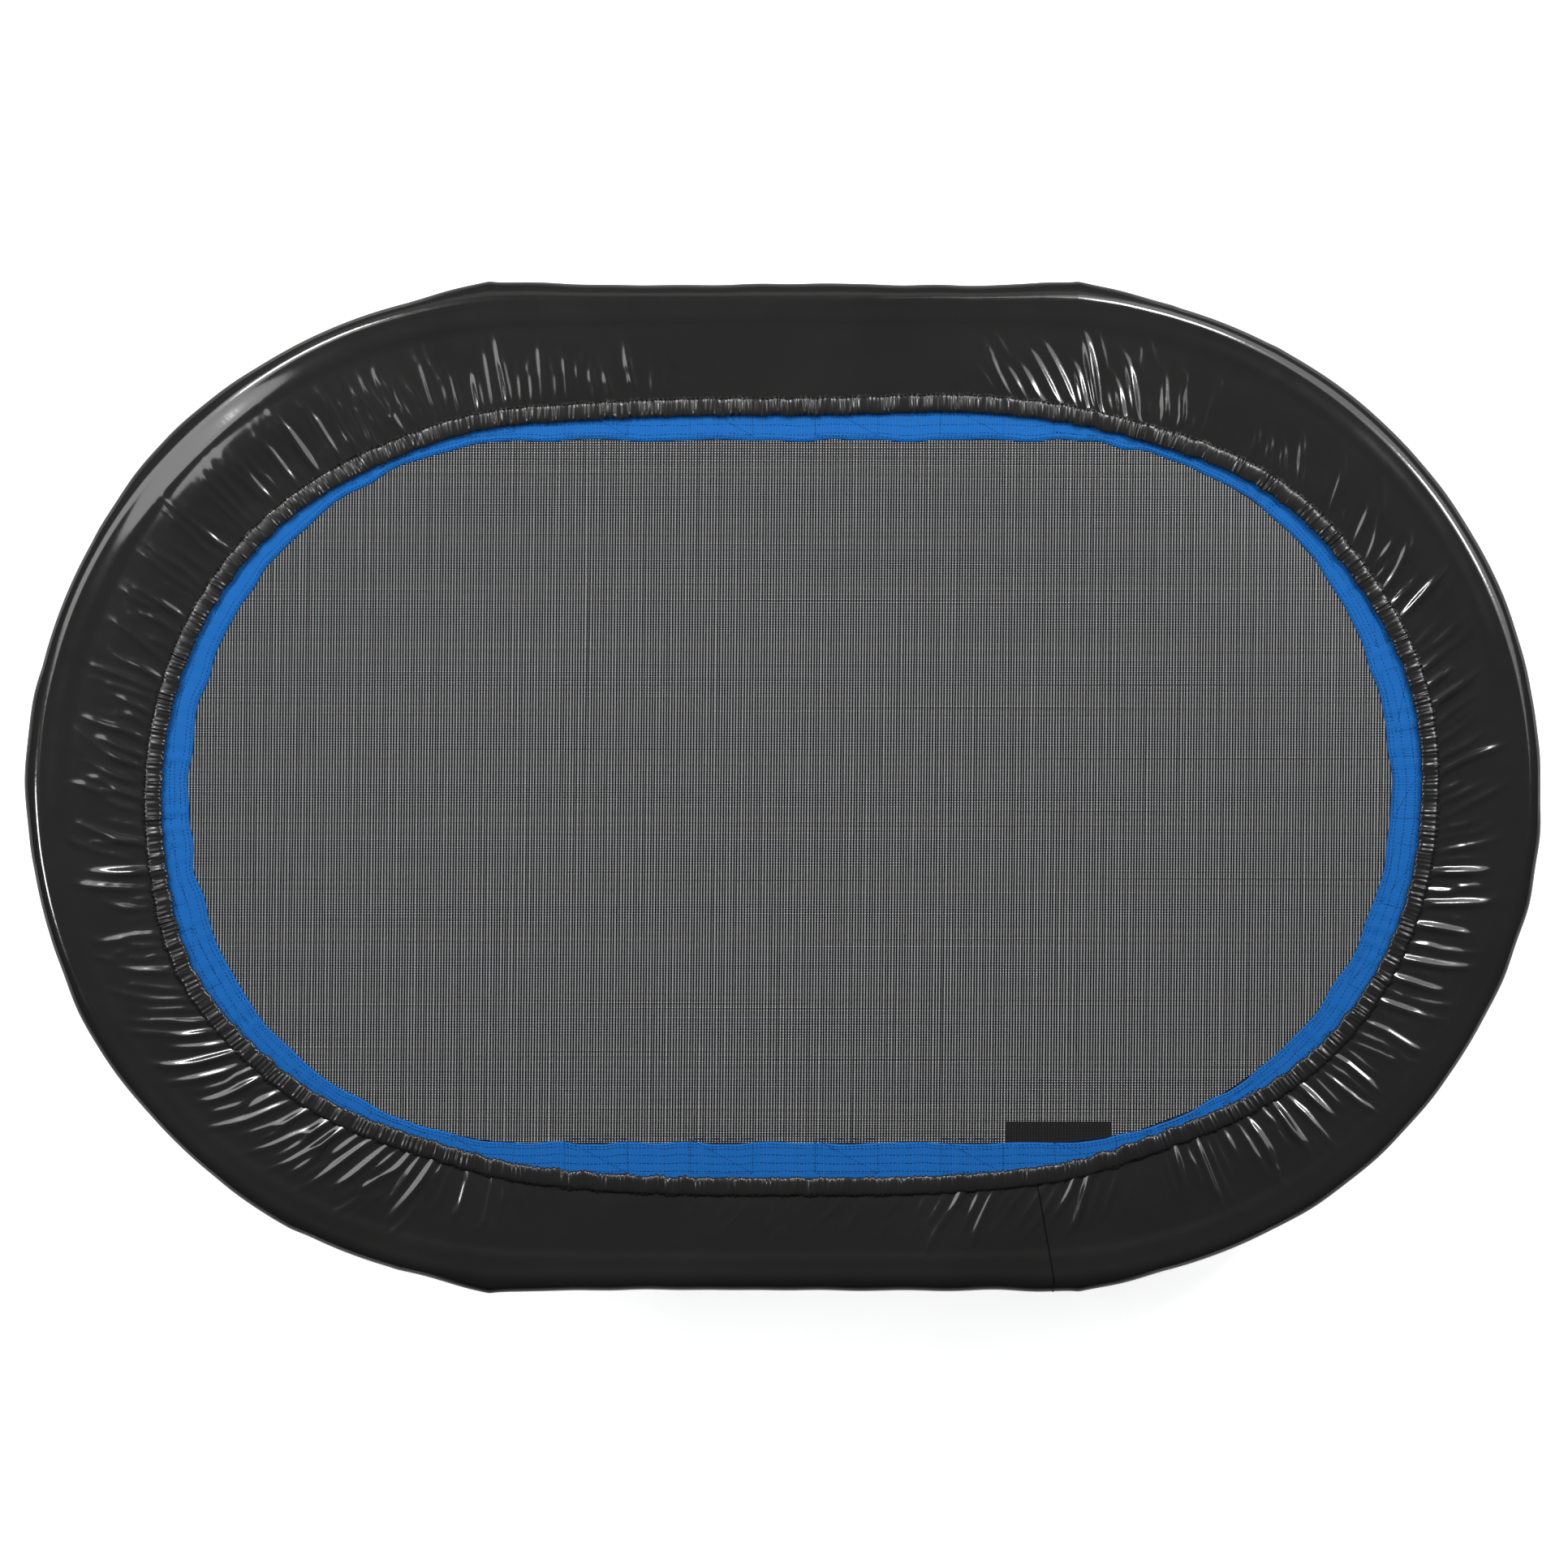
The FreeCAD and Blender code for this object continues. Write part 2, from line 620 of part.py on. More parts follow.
def pivot_bolt(x, y, side):
    """A hexagon-head bolt through a bracket and its leg."""
    head = y + side * CHEEK_OUTSIDE
    tail = y - side * (CHEEK_OUTSIDE + M8_NUT_DEEP + M8_PAST_NUT)
    shank = rod((x, tail, PIVOT_Z), (x, head, PIVOT_Z), M8)
    cap = hexagon((x, head, PIVOT_Z), (x, head + side * M8_HEAD_DEEP, PIVOT_Z), M8_ACROSS, 0)
    return solid_of(shank.fuse(cap))


def pivot_nut(x, y, side):
    """A locking nut on the pivot bolt."""
    face = y - side * CHEEK_OUTSIDE
    end = face - side * M8_NUT_DEEP
    return solid_of(hexagon((x, face, PIVOT_Z), (x, end, PIVOT_Z), M8_ACROSS, M8))


def make_legs():
    """Six brackets and six folding legs, each with its foot cap, snap button and spring."""
    rail = ring(round_section(RAIL_OFFSET, RAIL_Z, RAIL_RADIUS))
    for name, (x, y, side) in LEGS.items():
        save(f"{name}_bracket", bracket(x, y, side, rail))
        save(f"{name}_leg_tube", leg_tube(x, y, side))
        save(f"{name}_foot_cap", foot_cap(x, y))
        save(f"{name}_snap_button", snap_button(x, y, side))
        save(f"{name}_button_spring", button_spring(x, y, side))
    save("pivot_bolts", *[pivot_bolt(*leg) for leg in LEGS.values()])
    save("pivot_nuts", *[pivot_nut(*leg) for leg in LEGS.values()])


os.makedirs("parts", exist_ok=True)
spring_places = spring_stations()
bolt_places = bolt_stations()
make_rails(spring_places, bolt_places)
make_spigots(bolt_places)
make_rail_fasteners(bolt_places)
make_cover(bolt_places)
make_mat()
make_suspension(spring_places)
make_legs()
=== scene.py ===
import json
import math

import bpy
import numpy as np
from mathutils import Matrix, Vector


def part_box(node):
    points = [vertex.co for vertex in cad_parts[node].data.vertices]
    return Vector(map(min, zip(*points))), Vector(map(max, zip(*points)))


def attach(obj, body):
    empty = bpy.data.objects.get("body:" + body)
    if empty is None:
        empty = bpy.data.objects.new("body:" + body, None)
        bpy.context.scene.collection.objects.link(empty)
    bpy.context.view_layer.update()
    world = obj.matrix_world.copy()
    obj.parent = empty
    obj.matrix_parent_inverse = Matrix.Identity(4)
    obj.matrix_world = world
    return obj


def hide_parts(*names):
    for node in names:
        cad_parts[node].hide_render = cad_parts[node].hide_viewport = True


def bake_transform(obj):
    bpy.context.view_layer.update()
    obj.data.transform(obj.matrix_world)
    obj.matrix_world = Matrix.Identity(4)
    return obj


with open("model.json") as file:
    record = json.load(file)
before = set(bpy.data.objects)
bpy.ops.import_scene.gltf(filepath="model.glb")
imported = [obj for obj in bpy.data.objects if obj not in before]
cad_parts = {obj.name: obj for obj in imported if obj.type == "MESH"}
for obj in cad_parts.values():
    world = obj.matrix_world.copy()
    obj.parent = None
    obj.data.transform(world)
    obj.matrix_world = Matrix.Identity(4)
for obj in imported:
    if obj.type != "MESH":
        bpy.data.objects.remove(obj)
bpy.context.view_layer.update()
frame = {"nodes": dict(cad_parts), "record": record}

RANDOM = np.random.default_rng(7)
MM = 0.001
TURN = 2 * math.pi

# The oval: a straight spine along X, and every outline at an offset from it.
MAT_LOW, MAT_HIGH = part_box("jump_mat")
MAT_OFFSET = MAT_HIGH.y
SPINE = MAT_HIGH.x - MAT_HIGH.y
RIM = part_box("cover_skin")[1].x - SPINE
COVER_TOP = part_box("cover_skin")[1].z
SKIRT_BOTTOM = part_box("cover_skin")[0].z

# The rail.
RAIL_LOW, RAIL_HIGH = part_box("front_side_rail")
RAIL_RADIUS = (RAIL_HIGH.z - RAIL_LOW.z) / 2
RAIL_Z = (RAIL_HIGH.z + RAIL_LOW.z) / 2
RAIL_OFFSET = -(RAIL_HIGH.y + RAIL_LOW.y) / 2
WRAP_RADIUS = COVER_TOP - RAIL_Z

# The webbing, straps, rings and springs.
WEBBING_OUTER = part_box("edge_webbing_top")[1].y
WEBBING_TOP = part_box("edge_webbing_top")[1].z
WEBBING_WIDTH = 43 * MM
RING_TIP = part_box("mat_rings")[1].x - SPINE
COIL_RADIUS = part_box("front_springs")[1].z - RAIL_Z
SPRINGS_PER_END = 13
POOL = 2.6
OUTER_SPRING_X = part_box("front_springs")[1].x - COIL_RADIUS
SIDE_SPRINGS = 4

# The cover's opening, which sits a little off centre.
CASING_WIDTH = 19 * MM
OPENING_AT_ENDS = 367 * MM
OPENING_AT_SIDES = 376.5 * MM
OPENING_CORNER = 13 * MM
OPENING_SHIFT = np.array([7 * MM, -9 * MM])
# where the elastic lies slack or tight: place along the oval, reach, and how far it moves
OPENING_DRIFTS = [
    (0.13, 0.10, 5 * MM),
    (0.50, 0.20, 9 * MM),
    (0.75, 0.10, 5 * MM),
    (1.33, 0.11, 8 * MM),
    (2.09, 0.10, 9 * MM),
    (3.35, 0.16, -7 * MM),
]
CASING_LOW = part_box("inner_elastic")[0].z - 1 * MM
CASING_HEIGHT = 5 * MM
SEAM_Z = CASING_LOW + 3.5 * MM
# where the cover is gathered more or less than elsewhere, and where its folds are longer
GATHERS = [(0.42, 0.25, -0.42), (1.50, 0.22, -0.06), (2.22, 0.22, 0.14), (3.52, 0.22, 0.24)]
FOLD_LENGTHS = [(0.42, 0.25, -0.15), (1.50, 0.22, 0.20), (2.22, 0.24, 0.26), (3.52, 0.24, 0.32)]
FOLD_SLACK = [(2.22, 0.22, 0.020), (3.52, 0.22, 0.040)]
# how slack the cover lies on the sides: side (1 is the rear), middle, half width and slack
SLACK_PATCHES = [
    (1, -190 * MM, 110 * MM, 0.050),
    (1, 240 * MM, 40 * MM, 0.075),
    (-1, 175 * MM, 40 * MM, 0.110),
    (-1, 0.0, 110 * MM, 0.022),
]
# where air lifts the cover between the springs and the rail
PUFFS = [(1.53, 0.10, 7.5 * MM), (0.34, 0.22, 3 * MM)]
PUFF_INNER_SLOPE = (398 * MM, 442 * MM)
PUFF_OUTER_SLOPE = (492 * MM, 447 * MM)
# where the webbing is narrower than elsewhere
WEBBING_DRIFTS = [(0.36, 0.17, 7 * MM), (2.20, 0.17, 6 * MM)]
# the length round the oval in which these places are given, from the tip of the right end
DRIFT_LENGTH = 3.783

# The cloth's grids, from coarse to fine (columns, rows on its slope), and its settling.
FOLD_REFERENCE = 0.44
FOLD_GRIDS = ((520, 16), (1040, 30), (1560, 42))
FOLD_ROUNDS = (620, 300, 160)
FOLD_BEND = 0.05
FOLD_SINKS = 1.5 * MM
FOLD_RISES = 14 * MM
CLOTH_GIVE = 0.05 * MM

# The mat's tapes.
WARP_PITCH, WARP_WIDTH, WARP_THICK = 2.75 * MM, 1.70 * MM, 0.28 * MM
WEFT_PITCH, WEFT_WIDTH, WEFT_THICK = 1.63 * MM, 1.17 * MM, 0.20 * MM

# The bolt heads that push the cover's rim out, from the ends of the straight sides.
BUMP_ALONG = 31 * MM
BUMP_HEIGHT = 8 * MM
BUMP_REACH_ON_END = 85 * MM
SIDE_SLACK = 4 * MM

# The lights that glint on the folds: azimuth and elevation in degrees, and power.
GLINTS = ((62, 50, 24), (26, 46, 20), (128, 48, 20), (186, 42, 12))


# ---------------------------------------------------------------- the oval


class Oval:
    """Stations round the oval, evenly spaced along the outline at one offset."""

    def __init__(self, count, reference):
        quarter = reference * math.pi / 2
        self.length = 4 * SPINE + 4 * quarter
        self.reference = reference
        self.count = count
        self.step = self.length / count
        self.s = s = np.arange(count) * self.length / count
        marks = np.cumsum([quarter, 2 * SPINE, 2 * quarter, 2 * SPINE])
        before = [s < mark for mark in marks]
        angle = np.select(
            before,
            [
                s / reference,
                math.pi / 2,
                math.pi / 2 + (s - marks[1]) / reference,
                -math.pi / 2,
            ],
            -math.pi / 2 + (s - marks[3]) / reference,
        )
        self.spine = np.select(
            before, [SPINE, SPINE - (s - marks[0]), -SPINE, s - marks[2] - SPINE], SPINE
        )
        self.cos, self.sin = np.cos(angle), np.sin(angle)
        self.on_end = np.abs(self.spine) > SPINE - 1e-6

    def points(self, offset, z):
        """Points at an offset from the spine and a height, either of which may vary."""
        offset, z, _ = np.broadcast_arrays(offset, z, self.s)
        return np.stack([self.spine + offset * self.cos, offset * self.sin, z], axis=-1)

    def blurred(self, values, width):
        """Values at the stations, blurred along the oval."""
        waves = np.fft.rfftfreq(self.count, self.step)
        keep = np.exp(-((waves * width * math.pi) ** 2))
        return np.fft.irfft(np.fft.rfft(values, axis=-1) * keep, self.count, axis=-1)

    def noise(self, wavelength, spread=0.35):
        """Smooth noise round the oval, of about one wavelength, with a deviation of 1."""
        waves = np.fft.rfftfreq(self.count, self.step)
        centre = 1 / wavelength
        weight = np.exp(-(((waves - centre) / (spread * centre)) ** 2))
        phase = RANDOM.uniform(0, TURN, len(waves))
        values = np.fft.irfft(weight * np.exp(1j * phase), self.count)
        return values / values.std()


def smoothstep(low, high, x):
    """0 at low and before it, 1 at high and after it, and smooth between them."""
    t = np.clip((x - low) / (high - low), 0, 1)
    return t * t * (3 - 2 * t)


def beyond_corner(oval):
    """The distance along the oval from the nearest end of a straight side: above 0 on the
    rounded ends and below 0 on the sides."""
    angle = np.arctan2(np.abs(oval.sin), np.abs(oval.cos))
    on_end = (math.pi / 2 - angle) * oval.reference
    return np.where(oval.on_end, on_end, np.abs(oval.spine) - SPINE)


def drifted(oval, drifts):
    """What a list of (place along the oval, reach, amount) adds up to at each station."""
    place = oval.s / oval.length * DRIFT_LENGTH
    return sum(amount * np.exp(-(((place - at) / reach) ** 2)) for at, reach, amount in drifts)


def opening(oval):
    """The offset of the cover's inner edge at each station, before its shift."""
    along = beyond_corner(oval)
    straight = smoothstep(150 * MM, -200 * MM, along)
    corner = np.exp(-(((along - 110 * MM) / (120 * MM)) ** 2))
    return (
        OPENING_AT_ENDS
        + (OPENING_AT_SIDES - OPENING_AT_ENDS) * straight
        - OPENING_CORNER * corner
        + drifted(oval, OPENING_DRIFTS)
    )


def shift_opening(points, share):
    """Moves points with the off-centre opening, by a share from 0 at the rim to 1."""
    points[..., :2] += share[..., None] * OPENING_SHIFT
    return points


# ---------------------------------------------------------------- meshes


def mesh_object(name, vertices, faces, uvs=None, smooth=True):
    """A mesh object from vertices and equal-sided faces, with optional UVs per corner."""
    vertices = np.asarray(vertices, np.float32).reshape(-1, 3)
    faces = np.asarray(faces, np.int32)
    sides = faces.shape[1]
    mesh = bpy.data.meshes.new(name)
    mesh.vertices.add(len(vertices))
    mesh.vertices.foreach_set("co", vertices.ravel())
    mesh.loops.add(faces.size)
    mesh.loops.foreach_set("vertex_index", faces.ravel())
    mesh.polygons.add(len(faces))
    mesh.polygons.foreach_set("loop_start", np.arange(len(faces), dtype=np.int32) * sides)
    mesh.update(calc_edges=True)
    mesh.polygons.foreach_set("use_smooth", np.full(len(faces), smooth))
    if uvs is not None:
        layer = mesh.uv_layers.new(name="UVMap")
        layer.data.foreach_set("uv", np.asarray(uvs, np.float32).ravel())
    mesh.validate()
    obj = bpy.data.objects.new(name, mesh)
    bpy.context.scene.collection.objects.link(obj)
    return obj


def grid_faces(rows, columns, closed_rows, closed_columns):
    """Quads of a grid, in loop order, with their corners' row and column numbers."""
    row = np.arange(rows if closed_rows else rows - 1)
    column = np.arange(columns if closed_columns else columns - 1)
    row, column = (a.ravel() for a in np.meshgrid(row, column, indexing="ij"))
    corner_rows = np.stack([row, row, row + 1, row + 1], axis=1)
    corner_columns = np.stack([column, column + 1, column + 1, column], axis=1)
    faces = (corner_rows % rows) * columns + corner_columns % columns
    return faces, corner_rows, corner_columns


def grid_object(name, points, along, across, closed_rows=False, closed_columns=True):
    """A grid of points [row, column] as a mesh, with UVs in metres along and across."""
    rows, columns = points.shape[:2]
    faces, corner_rows, corner_columns = grid_faces(rows, columns, closed_rows, closed_columns)
    if np.ndim(across) == 0:
        across = np.arange(rows + 1) * across
    uvs = np.stack([corner_columns * along, across[corner_rows]], axis=-1)
    return mesh_object(name, points, faces, uvs)


def tube_points(path, radius, sides):
    """Rings of points round a path, [point, side], with no twist."""
    path = np.asarray(path, float)
    tangent = np.gradient(path, axis=0)
    tangent /= np.linalg.norm(tangent, axis=1)[:, None]
    normal = np.cross(tangent[0], [0.3, 0.5, 0.8])
    normals = []
    for t in tangent:
        normal = normal - t * np.dot(normal, t)
        normal = normal / np.linalg.norm(normal)
        normals.append(normal)
    normals = np.array(normals)
    binormals = np.cross(tangent, normals)
    angle = np.arange(sides) * TURN / sides
    ring = normals[:, None] * np.cos(angle)[:, None] + binormals[:, None] * np.sin(angle)[:, None]
    return path[:, None] + radius * ring


def join_parts(parts):
    """Joins (vertices, faces) pairs into one pair."""
    start = 0
    vertices, faces = [], []
    for v, f in parts:
        vertices.append(np.reshape(v, (-1, 3)))
        faces.append(f + start)
        start += len(vertices[-1])
    return np.concatenate(vertices), np.concatenate(faces)


def finish_piece(obj, material, body, replaced=()):
    """Gives a piece its material and body, and hides the CAD nodes that it stands for."""
    obj.data.materials.clear()
    obj.data.materials.append(material)
    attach(obj, body)
    if replaced:
        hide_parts(*replaced)
    return obj


# ---------------------------------------------------------------- materials


class Surface:
    """A procedural material, built up from named steps."""

    def __init__(self, name, colour, roughness, metallic=0.0, specular=0.5):
        self.material = bpy.data.materials.new(name)
        self.material.use_nodes = True
        self.nodes = self.material.node_tree.nodes
        self.links = self.material.node_tree.links
        self.shader = self.nodes["Principled BSDF"]
        self.colour = colour
        self.set("Base Color", (*colour, 1))
        self.set("Roughness", roughness)
        self.set("Metallic", metallic)
        self.set("Specular IOR Level", specular)
        self.normal = None

    def set(self, name, value):
        self.shader.inputs[name].default_value = value

    def node(self, kind, **inputs):
        node = self.nodes.new(kind)
        for name, value in inputs.items():
            node.inputs[name].default_value = value
        return node

    def coordinates(self, kind, scale):
        """Texture coordinates of a kind, such as UV or Object, times a scale."""
        source = self.nodes.new("ShaderNodeTexCoord")
        mapping = self.node("ShaderNodeMapping", Scale=scale)
        self.links.new(source.outputs[kind], mapping.inputs["Vector"])
        return mapping.outputs["Vector"]

    def noise(self, vector, scale=1.0, detail=3.0, roughness=0.5, distortion=0.0):
        node = self.node(
            "ShaderNodeTexNoise",
            Scale=scale, Detail=detail, Roughness=roughness, Distortion=distortion,
        )
        self.links.new(vector, node.inputs["Vector"])
        return node.outputs["Fac"]

    def wave(self, vector, direction, scale, distortion=0.0):
        node = self.node("ShaderNodeTexWave", Scale=scale, Distortion=distortion)
        node.bands_direction = direction
        self.links.new(vector, node.inputs["Vector"])
        return node.outputs["Fac"]

    def ramp(self, value, low, high, start=0.0, end=1.0):
        """Spreads a value from start..end to low..high."""
        ends = {"From Min": start, "From Max": end, "To Min": low, "To Max": high}
        node = self.node("ShaderNodeMapRange", **ends)
        self.links.new(value, node.inputs["Value"])
        return node.outputs["Result"]

    def multiply(self, a, b):
        node = self.nodes.new("ShaderNodeMath")
        node.operation = "MULTIPLY"
        self.links.new(a, node.inputs[0])
        self.links.new(b, node.inputs[1])
        return node.outputs["Value"]

    def shade_colour(self, value, dark, light):
        """Base colour between two multiples of the surface's own colour."""
        node = self.node("ShaderNodeMix")
        node.data_type = "RGBA"
        colours = [s for s in node.inputs if s.type == "RGBA"]
        colours[0].default_value = (*[c * dark for c in self.colour], 1)
        colours[1].default_value = (*[c * light for c in self.colour], 1)
        self.links.new(value, node.inputs["Factor"])
        result = next(s for s in node.outputs if s.type == "RGBA")
        self.links.new(result, self.shader.inputs["Base Color"])

    def roughen(self, value, low, high):
        self.links.new(self.ramp(value, low, high), self.shader.inputs["Roughness"])

    def bump(self, value, strength, distance):
        node = self.node("ShaderNodeBump", Strength=strength, Distance=distance)
        self.links.new(value, node.inputs["Height"])
        if self.normal:
            self.links.new(self.normal, node.inputs["Normal"])
        self.normal = node.outputs["Normal"]
        self.links.new(self.normal, self.shader.inputs["Normal"])


def vinyl(name, skirt, specular, smoothest, roughest):
    """Thin glossy vinyl: fine creases across it, small changes in gloss, and duller where
    it turns down to its skirt, a distance from its seam."""
    surface = Surface(name, (0.0092, 0.0088, 0.0087), smoothest)
    soft = surface.noise(surface.coordinates("UV", (9, 14, 1)), detail=4)
    surface.shade_colour(soft, 0.8, 1.35)
    cloudy = surface.noise(surface.coordinates("UV", (40, 30, 1)), detail=3)
    surface.roughen(cloudy, smoothest, roughest)
    creases = surface.noise(surface.coordinates("UV", (120, 30, 1)), detail=4, distortion=0.5)
    surface.bump(creases, 0.14, 0.5 * MM)
    split = surface.nodes.new("ShaderNodeSeparateXYZ")
    surface.links.new(surface.coordinates("UV", (1, 1, 1)), split.inputs["Vector"])
    gloss = surface.ramp(split.outputs["Y"], specular, 0.06, skirt, skirt + 3 * MM)
    surface.links.new(gloss, surface.shader.inputs["Specular IOR Level"])
    return surface.material


def powder_coat():
    """Black powder coat with a faint orange-peel."""
    surface = Surface("powder_coat", (0.022, 0.022, 0.024), 0.42)
    peel = surface.noise(surface.coordinates("Object", (420, 420, 420)), detail=2)
    surface.bump(peel, 0.18, 0.15 * MM)
    wear = surface.noise(surface.coordinates("Object", (14, 14, 14)), detail=6)
    surface.shade_colour(wear, 0.7, 1.5)
    surface.roughen(wear, 0.34, 0.52)
    return surface.material


def zinc(name, colour, roughness):
    """Zinc-plated steel, a little cloudy."""
    surface = Surface(name, colour, roughness, metallic=1.0)
    cloud = surface.noise(surface.coordinates("Object", (90, 90, 90)), detail=6)
    surface.shade_colour(cloud, 0.72, 1.12)
    surface.roughen(cloud, roughness - 0.08, roughness + 0.14)
    return surface.material


def rubber():
    """Matt moulded rubber."""
    surface = Surface("rubber", (0.018, 0.018, 0.018), 0.82)
    speckle = surface.noise(surface.coordinates("Object", (700, 700, 700)), detail=3)
    surface.bump(speckle, 0.25, 0.15 * MM)
    dust = surface.noise(surface.coordinates("Object", (25, 25, 25)), detail=5)
    surface.shade_colour(dust, 0.8, 1.9)
    return surface.material


def yarn():
    """Flat black polypropylene tape, streaked along its length."""
    surface = Surface("yarn", (0.006, 0.006, 0.006), 0.5, specular=0.12)
    streak = surface.noise(surface.coordinates("Object", (300, 300, 300)), detail=2)
    surface.shade_colour(streak, 0.6, 1.7)
    surface.bump(streak, 0.3, 0.1 * MM)
    return surface.material


def webbing(name, colour, rib_pitch):
    """Ribbed webbing, its ribs across it and its yarns a fine twill, with painted shade in the
    grooves between them.
    """
    surface = Surface(name, colour, 0.62, specular=0.12)
    # a wave texture's period is pi / 10 of a unit at scale 1
    period, yarn_pitch = math.pi / 10, 0.8 * MM
    ribs = surface.wave(surface.coordinates("UV", (period / rib_pitch,) * 3), "X", 1.0, 0.3)
    yarns = surface.wave(surface.coordinates("UV", (period / yarn_pitch,) * 3), "Y", 1.0, 0.8)
    weave_shade = surface.multiply(surface.ramp(ribs, 0.35, 1), surface.ramp(yarns, 0.6, 1))
    # painted shade: the base colour is darker in the grooves between the ribs and yarns and
    # lighter on their tops, following the bump
    surface.shade_colour(weave_shade, 0.42, 1.50)
    surface.bump(weave_shade, 0.7, 0.5 * MM)
    fade = surface.noise(surface.coordinates("UV", (12, 60, 1)), detail=4)
    surface.roughen(fade, 0.5, 0.75)
    return surface.material


def thread(name, colour):
    """Twisted sewing thread."""
    surface = Surface(name, colour, 0.8, specular=0.1)
    twist = surface.wave(surface.coordinates("Object", (900, 900, 900)), "DIAGONAL", 1.0)
    surface.shade_colour(twist, 0.6, 1.2)
    return surface.material


def tag_cloth():
    """A plain blank woven tag."""
    surface = Surface("tag_cloth", (0.10, 0.10, 0.105), 0.85)
    weave_shade = surface.noise(surface.coordinates("Object", (1800, 1800, 1800)), detail=1)
    # painted shade: the colour follows the bump's noise, darker in the weave's hollows and lighter
    # on its tops
    surface.shade_colour(weave_shade, 0.6, 1.5)
    surface.bump(weave_shade, 0.4, 0.2 * MM)
    return surface.material


def floor_material():
    """A plain pale floor that glows: a painted pool of light under the object, dimmer further
    away.
    """
    surface = Surface("pale_floor", (0.8, 0.8, 0.8), 0.9)
    speckle = surface.noise(surface.coordinates("Object", (3, 3, 3)), detail=2)
    surface.shade_colour(speckle, 0.98, 1.02)
    # painted light: the floor itself glows, brightest under the object and fading further out
    surface.set("Emission Color", (1, 1, 1, 1))
    glow = surface.node("ShaderNodeTexGradient")
    glow.gradient_type = "SPHERICAL"
    surface.links.new(surface.coordinates("Object", (1 / POOL,) * 3), glow.inputs["Vector"])
    strength = surface.ramp(glow.outputs["Fac"], 0.0, 0.85, end=0.5)
    surface.links.new(strength, surface.shader.inputs["Emission Strength"])
    return surface.material


# ---------------------------------------------------------------- the cover cloth


def rim_swell(oval):
    """How far the cover's rim stands out from the even oval at each station: tents over
    the four bolt heads, slack between them, and a little unevenness."""
    along = beyond_corner(oval) - BUMP_ALONG
    on_end = np.clip(1 - along / BUMP_REACH_ON_END, 0, None) ** 2 * BUMP_HEIGHT
    past_tent = np.clip((along - BUMP_REACH_ON_END) / (100 * MM), 0, 1)
    flat_end = -3.5 * MM * np.sin(math.pi * past_tent)
    on_side = SIDE_SLACK + (BUMP_HEIGHT - SIDE_SLACK) * np.exp(along / (22 * MM))
    side = np.minimum(on_side, BUMP_HEIGHT) * (0.85 + 0.15 * np.cos(oval.spine / SPINE * 5))
    swell = np.where(along > 0, np.where(along < BUMP_REACH_ON_END, on_end, flat_end), side)
    swell = swell + 0.8 * MM * oval.noise(0.30) + 0.35 * MM * oval.noise(0.08)
    # the rail inside holds it out
    room = WRAP_RADIUS - RAIL_RADIUS - 0.5 * MM
    return np.maximum(swell, -room)


def cover_profile(rows_on_slope):
    """The cover's line from its inner seam to its hem: offsets, heights, and how far each
    row is from the seam towards the rim, from 0 to 1."""
    seam = OPENING_AT_ENDS + CASING_WIDTH - 4 * MM
    slope = np.linspace(0, 1, rows_on_slope, endpoint=False)
    crest = RAIL_OFFSET - 4 * MM
    around = np.radians(np.linspace(105, 0, rows_on_slope * 5 // 12, endpoint=False))
    down = np.linspace(0, 1, rows_on_slope // 4)
    offset = [
        seam + (crest - seam) * slope,
        RAIL_OFFSET + WRAP_RADIUS * np.cos(around),
        RIM - 3.5 * MM * down**3,
    ]
    z = [
        SEAM_Z + (COVER_TOP - 0.6 * MM - SEAM_Z) * slope**0.8,
        RAIL_Z + WRAP_RADIUS * np.sin(around),
        RAIL_Z + (SKIRT_BOTTOM - RAIL_Z) * down,
    ]
    share = [1 - slope, np.zeros(len(around)), np.zeros(len(down))]
    return (np.concatenate(a) for a in (offset, z, share))


def onward(grid, steps):
    """A grid's values that many columns further round the oval."""
    return np.roll(grid, -steps, axis=1)


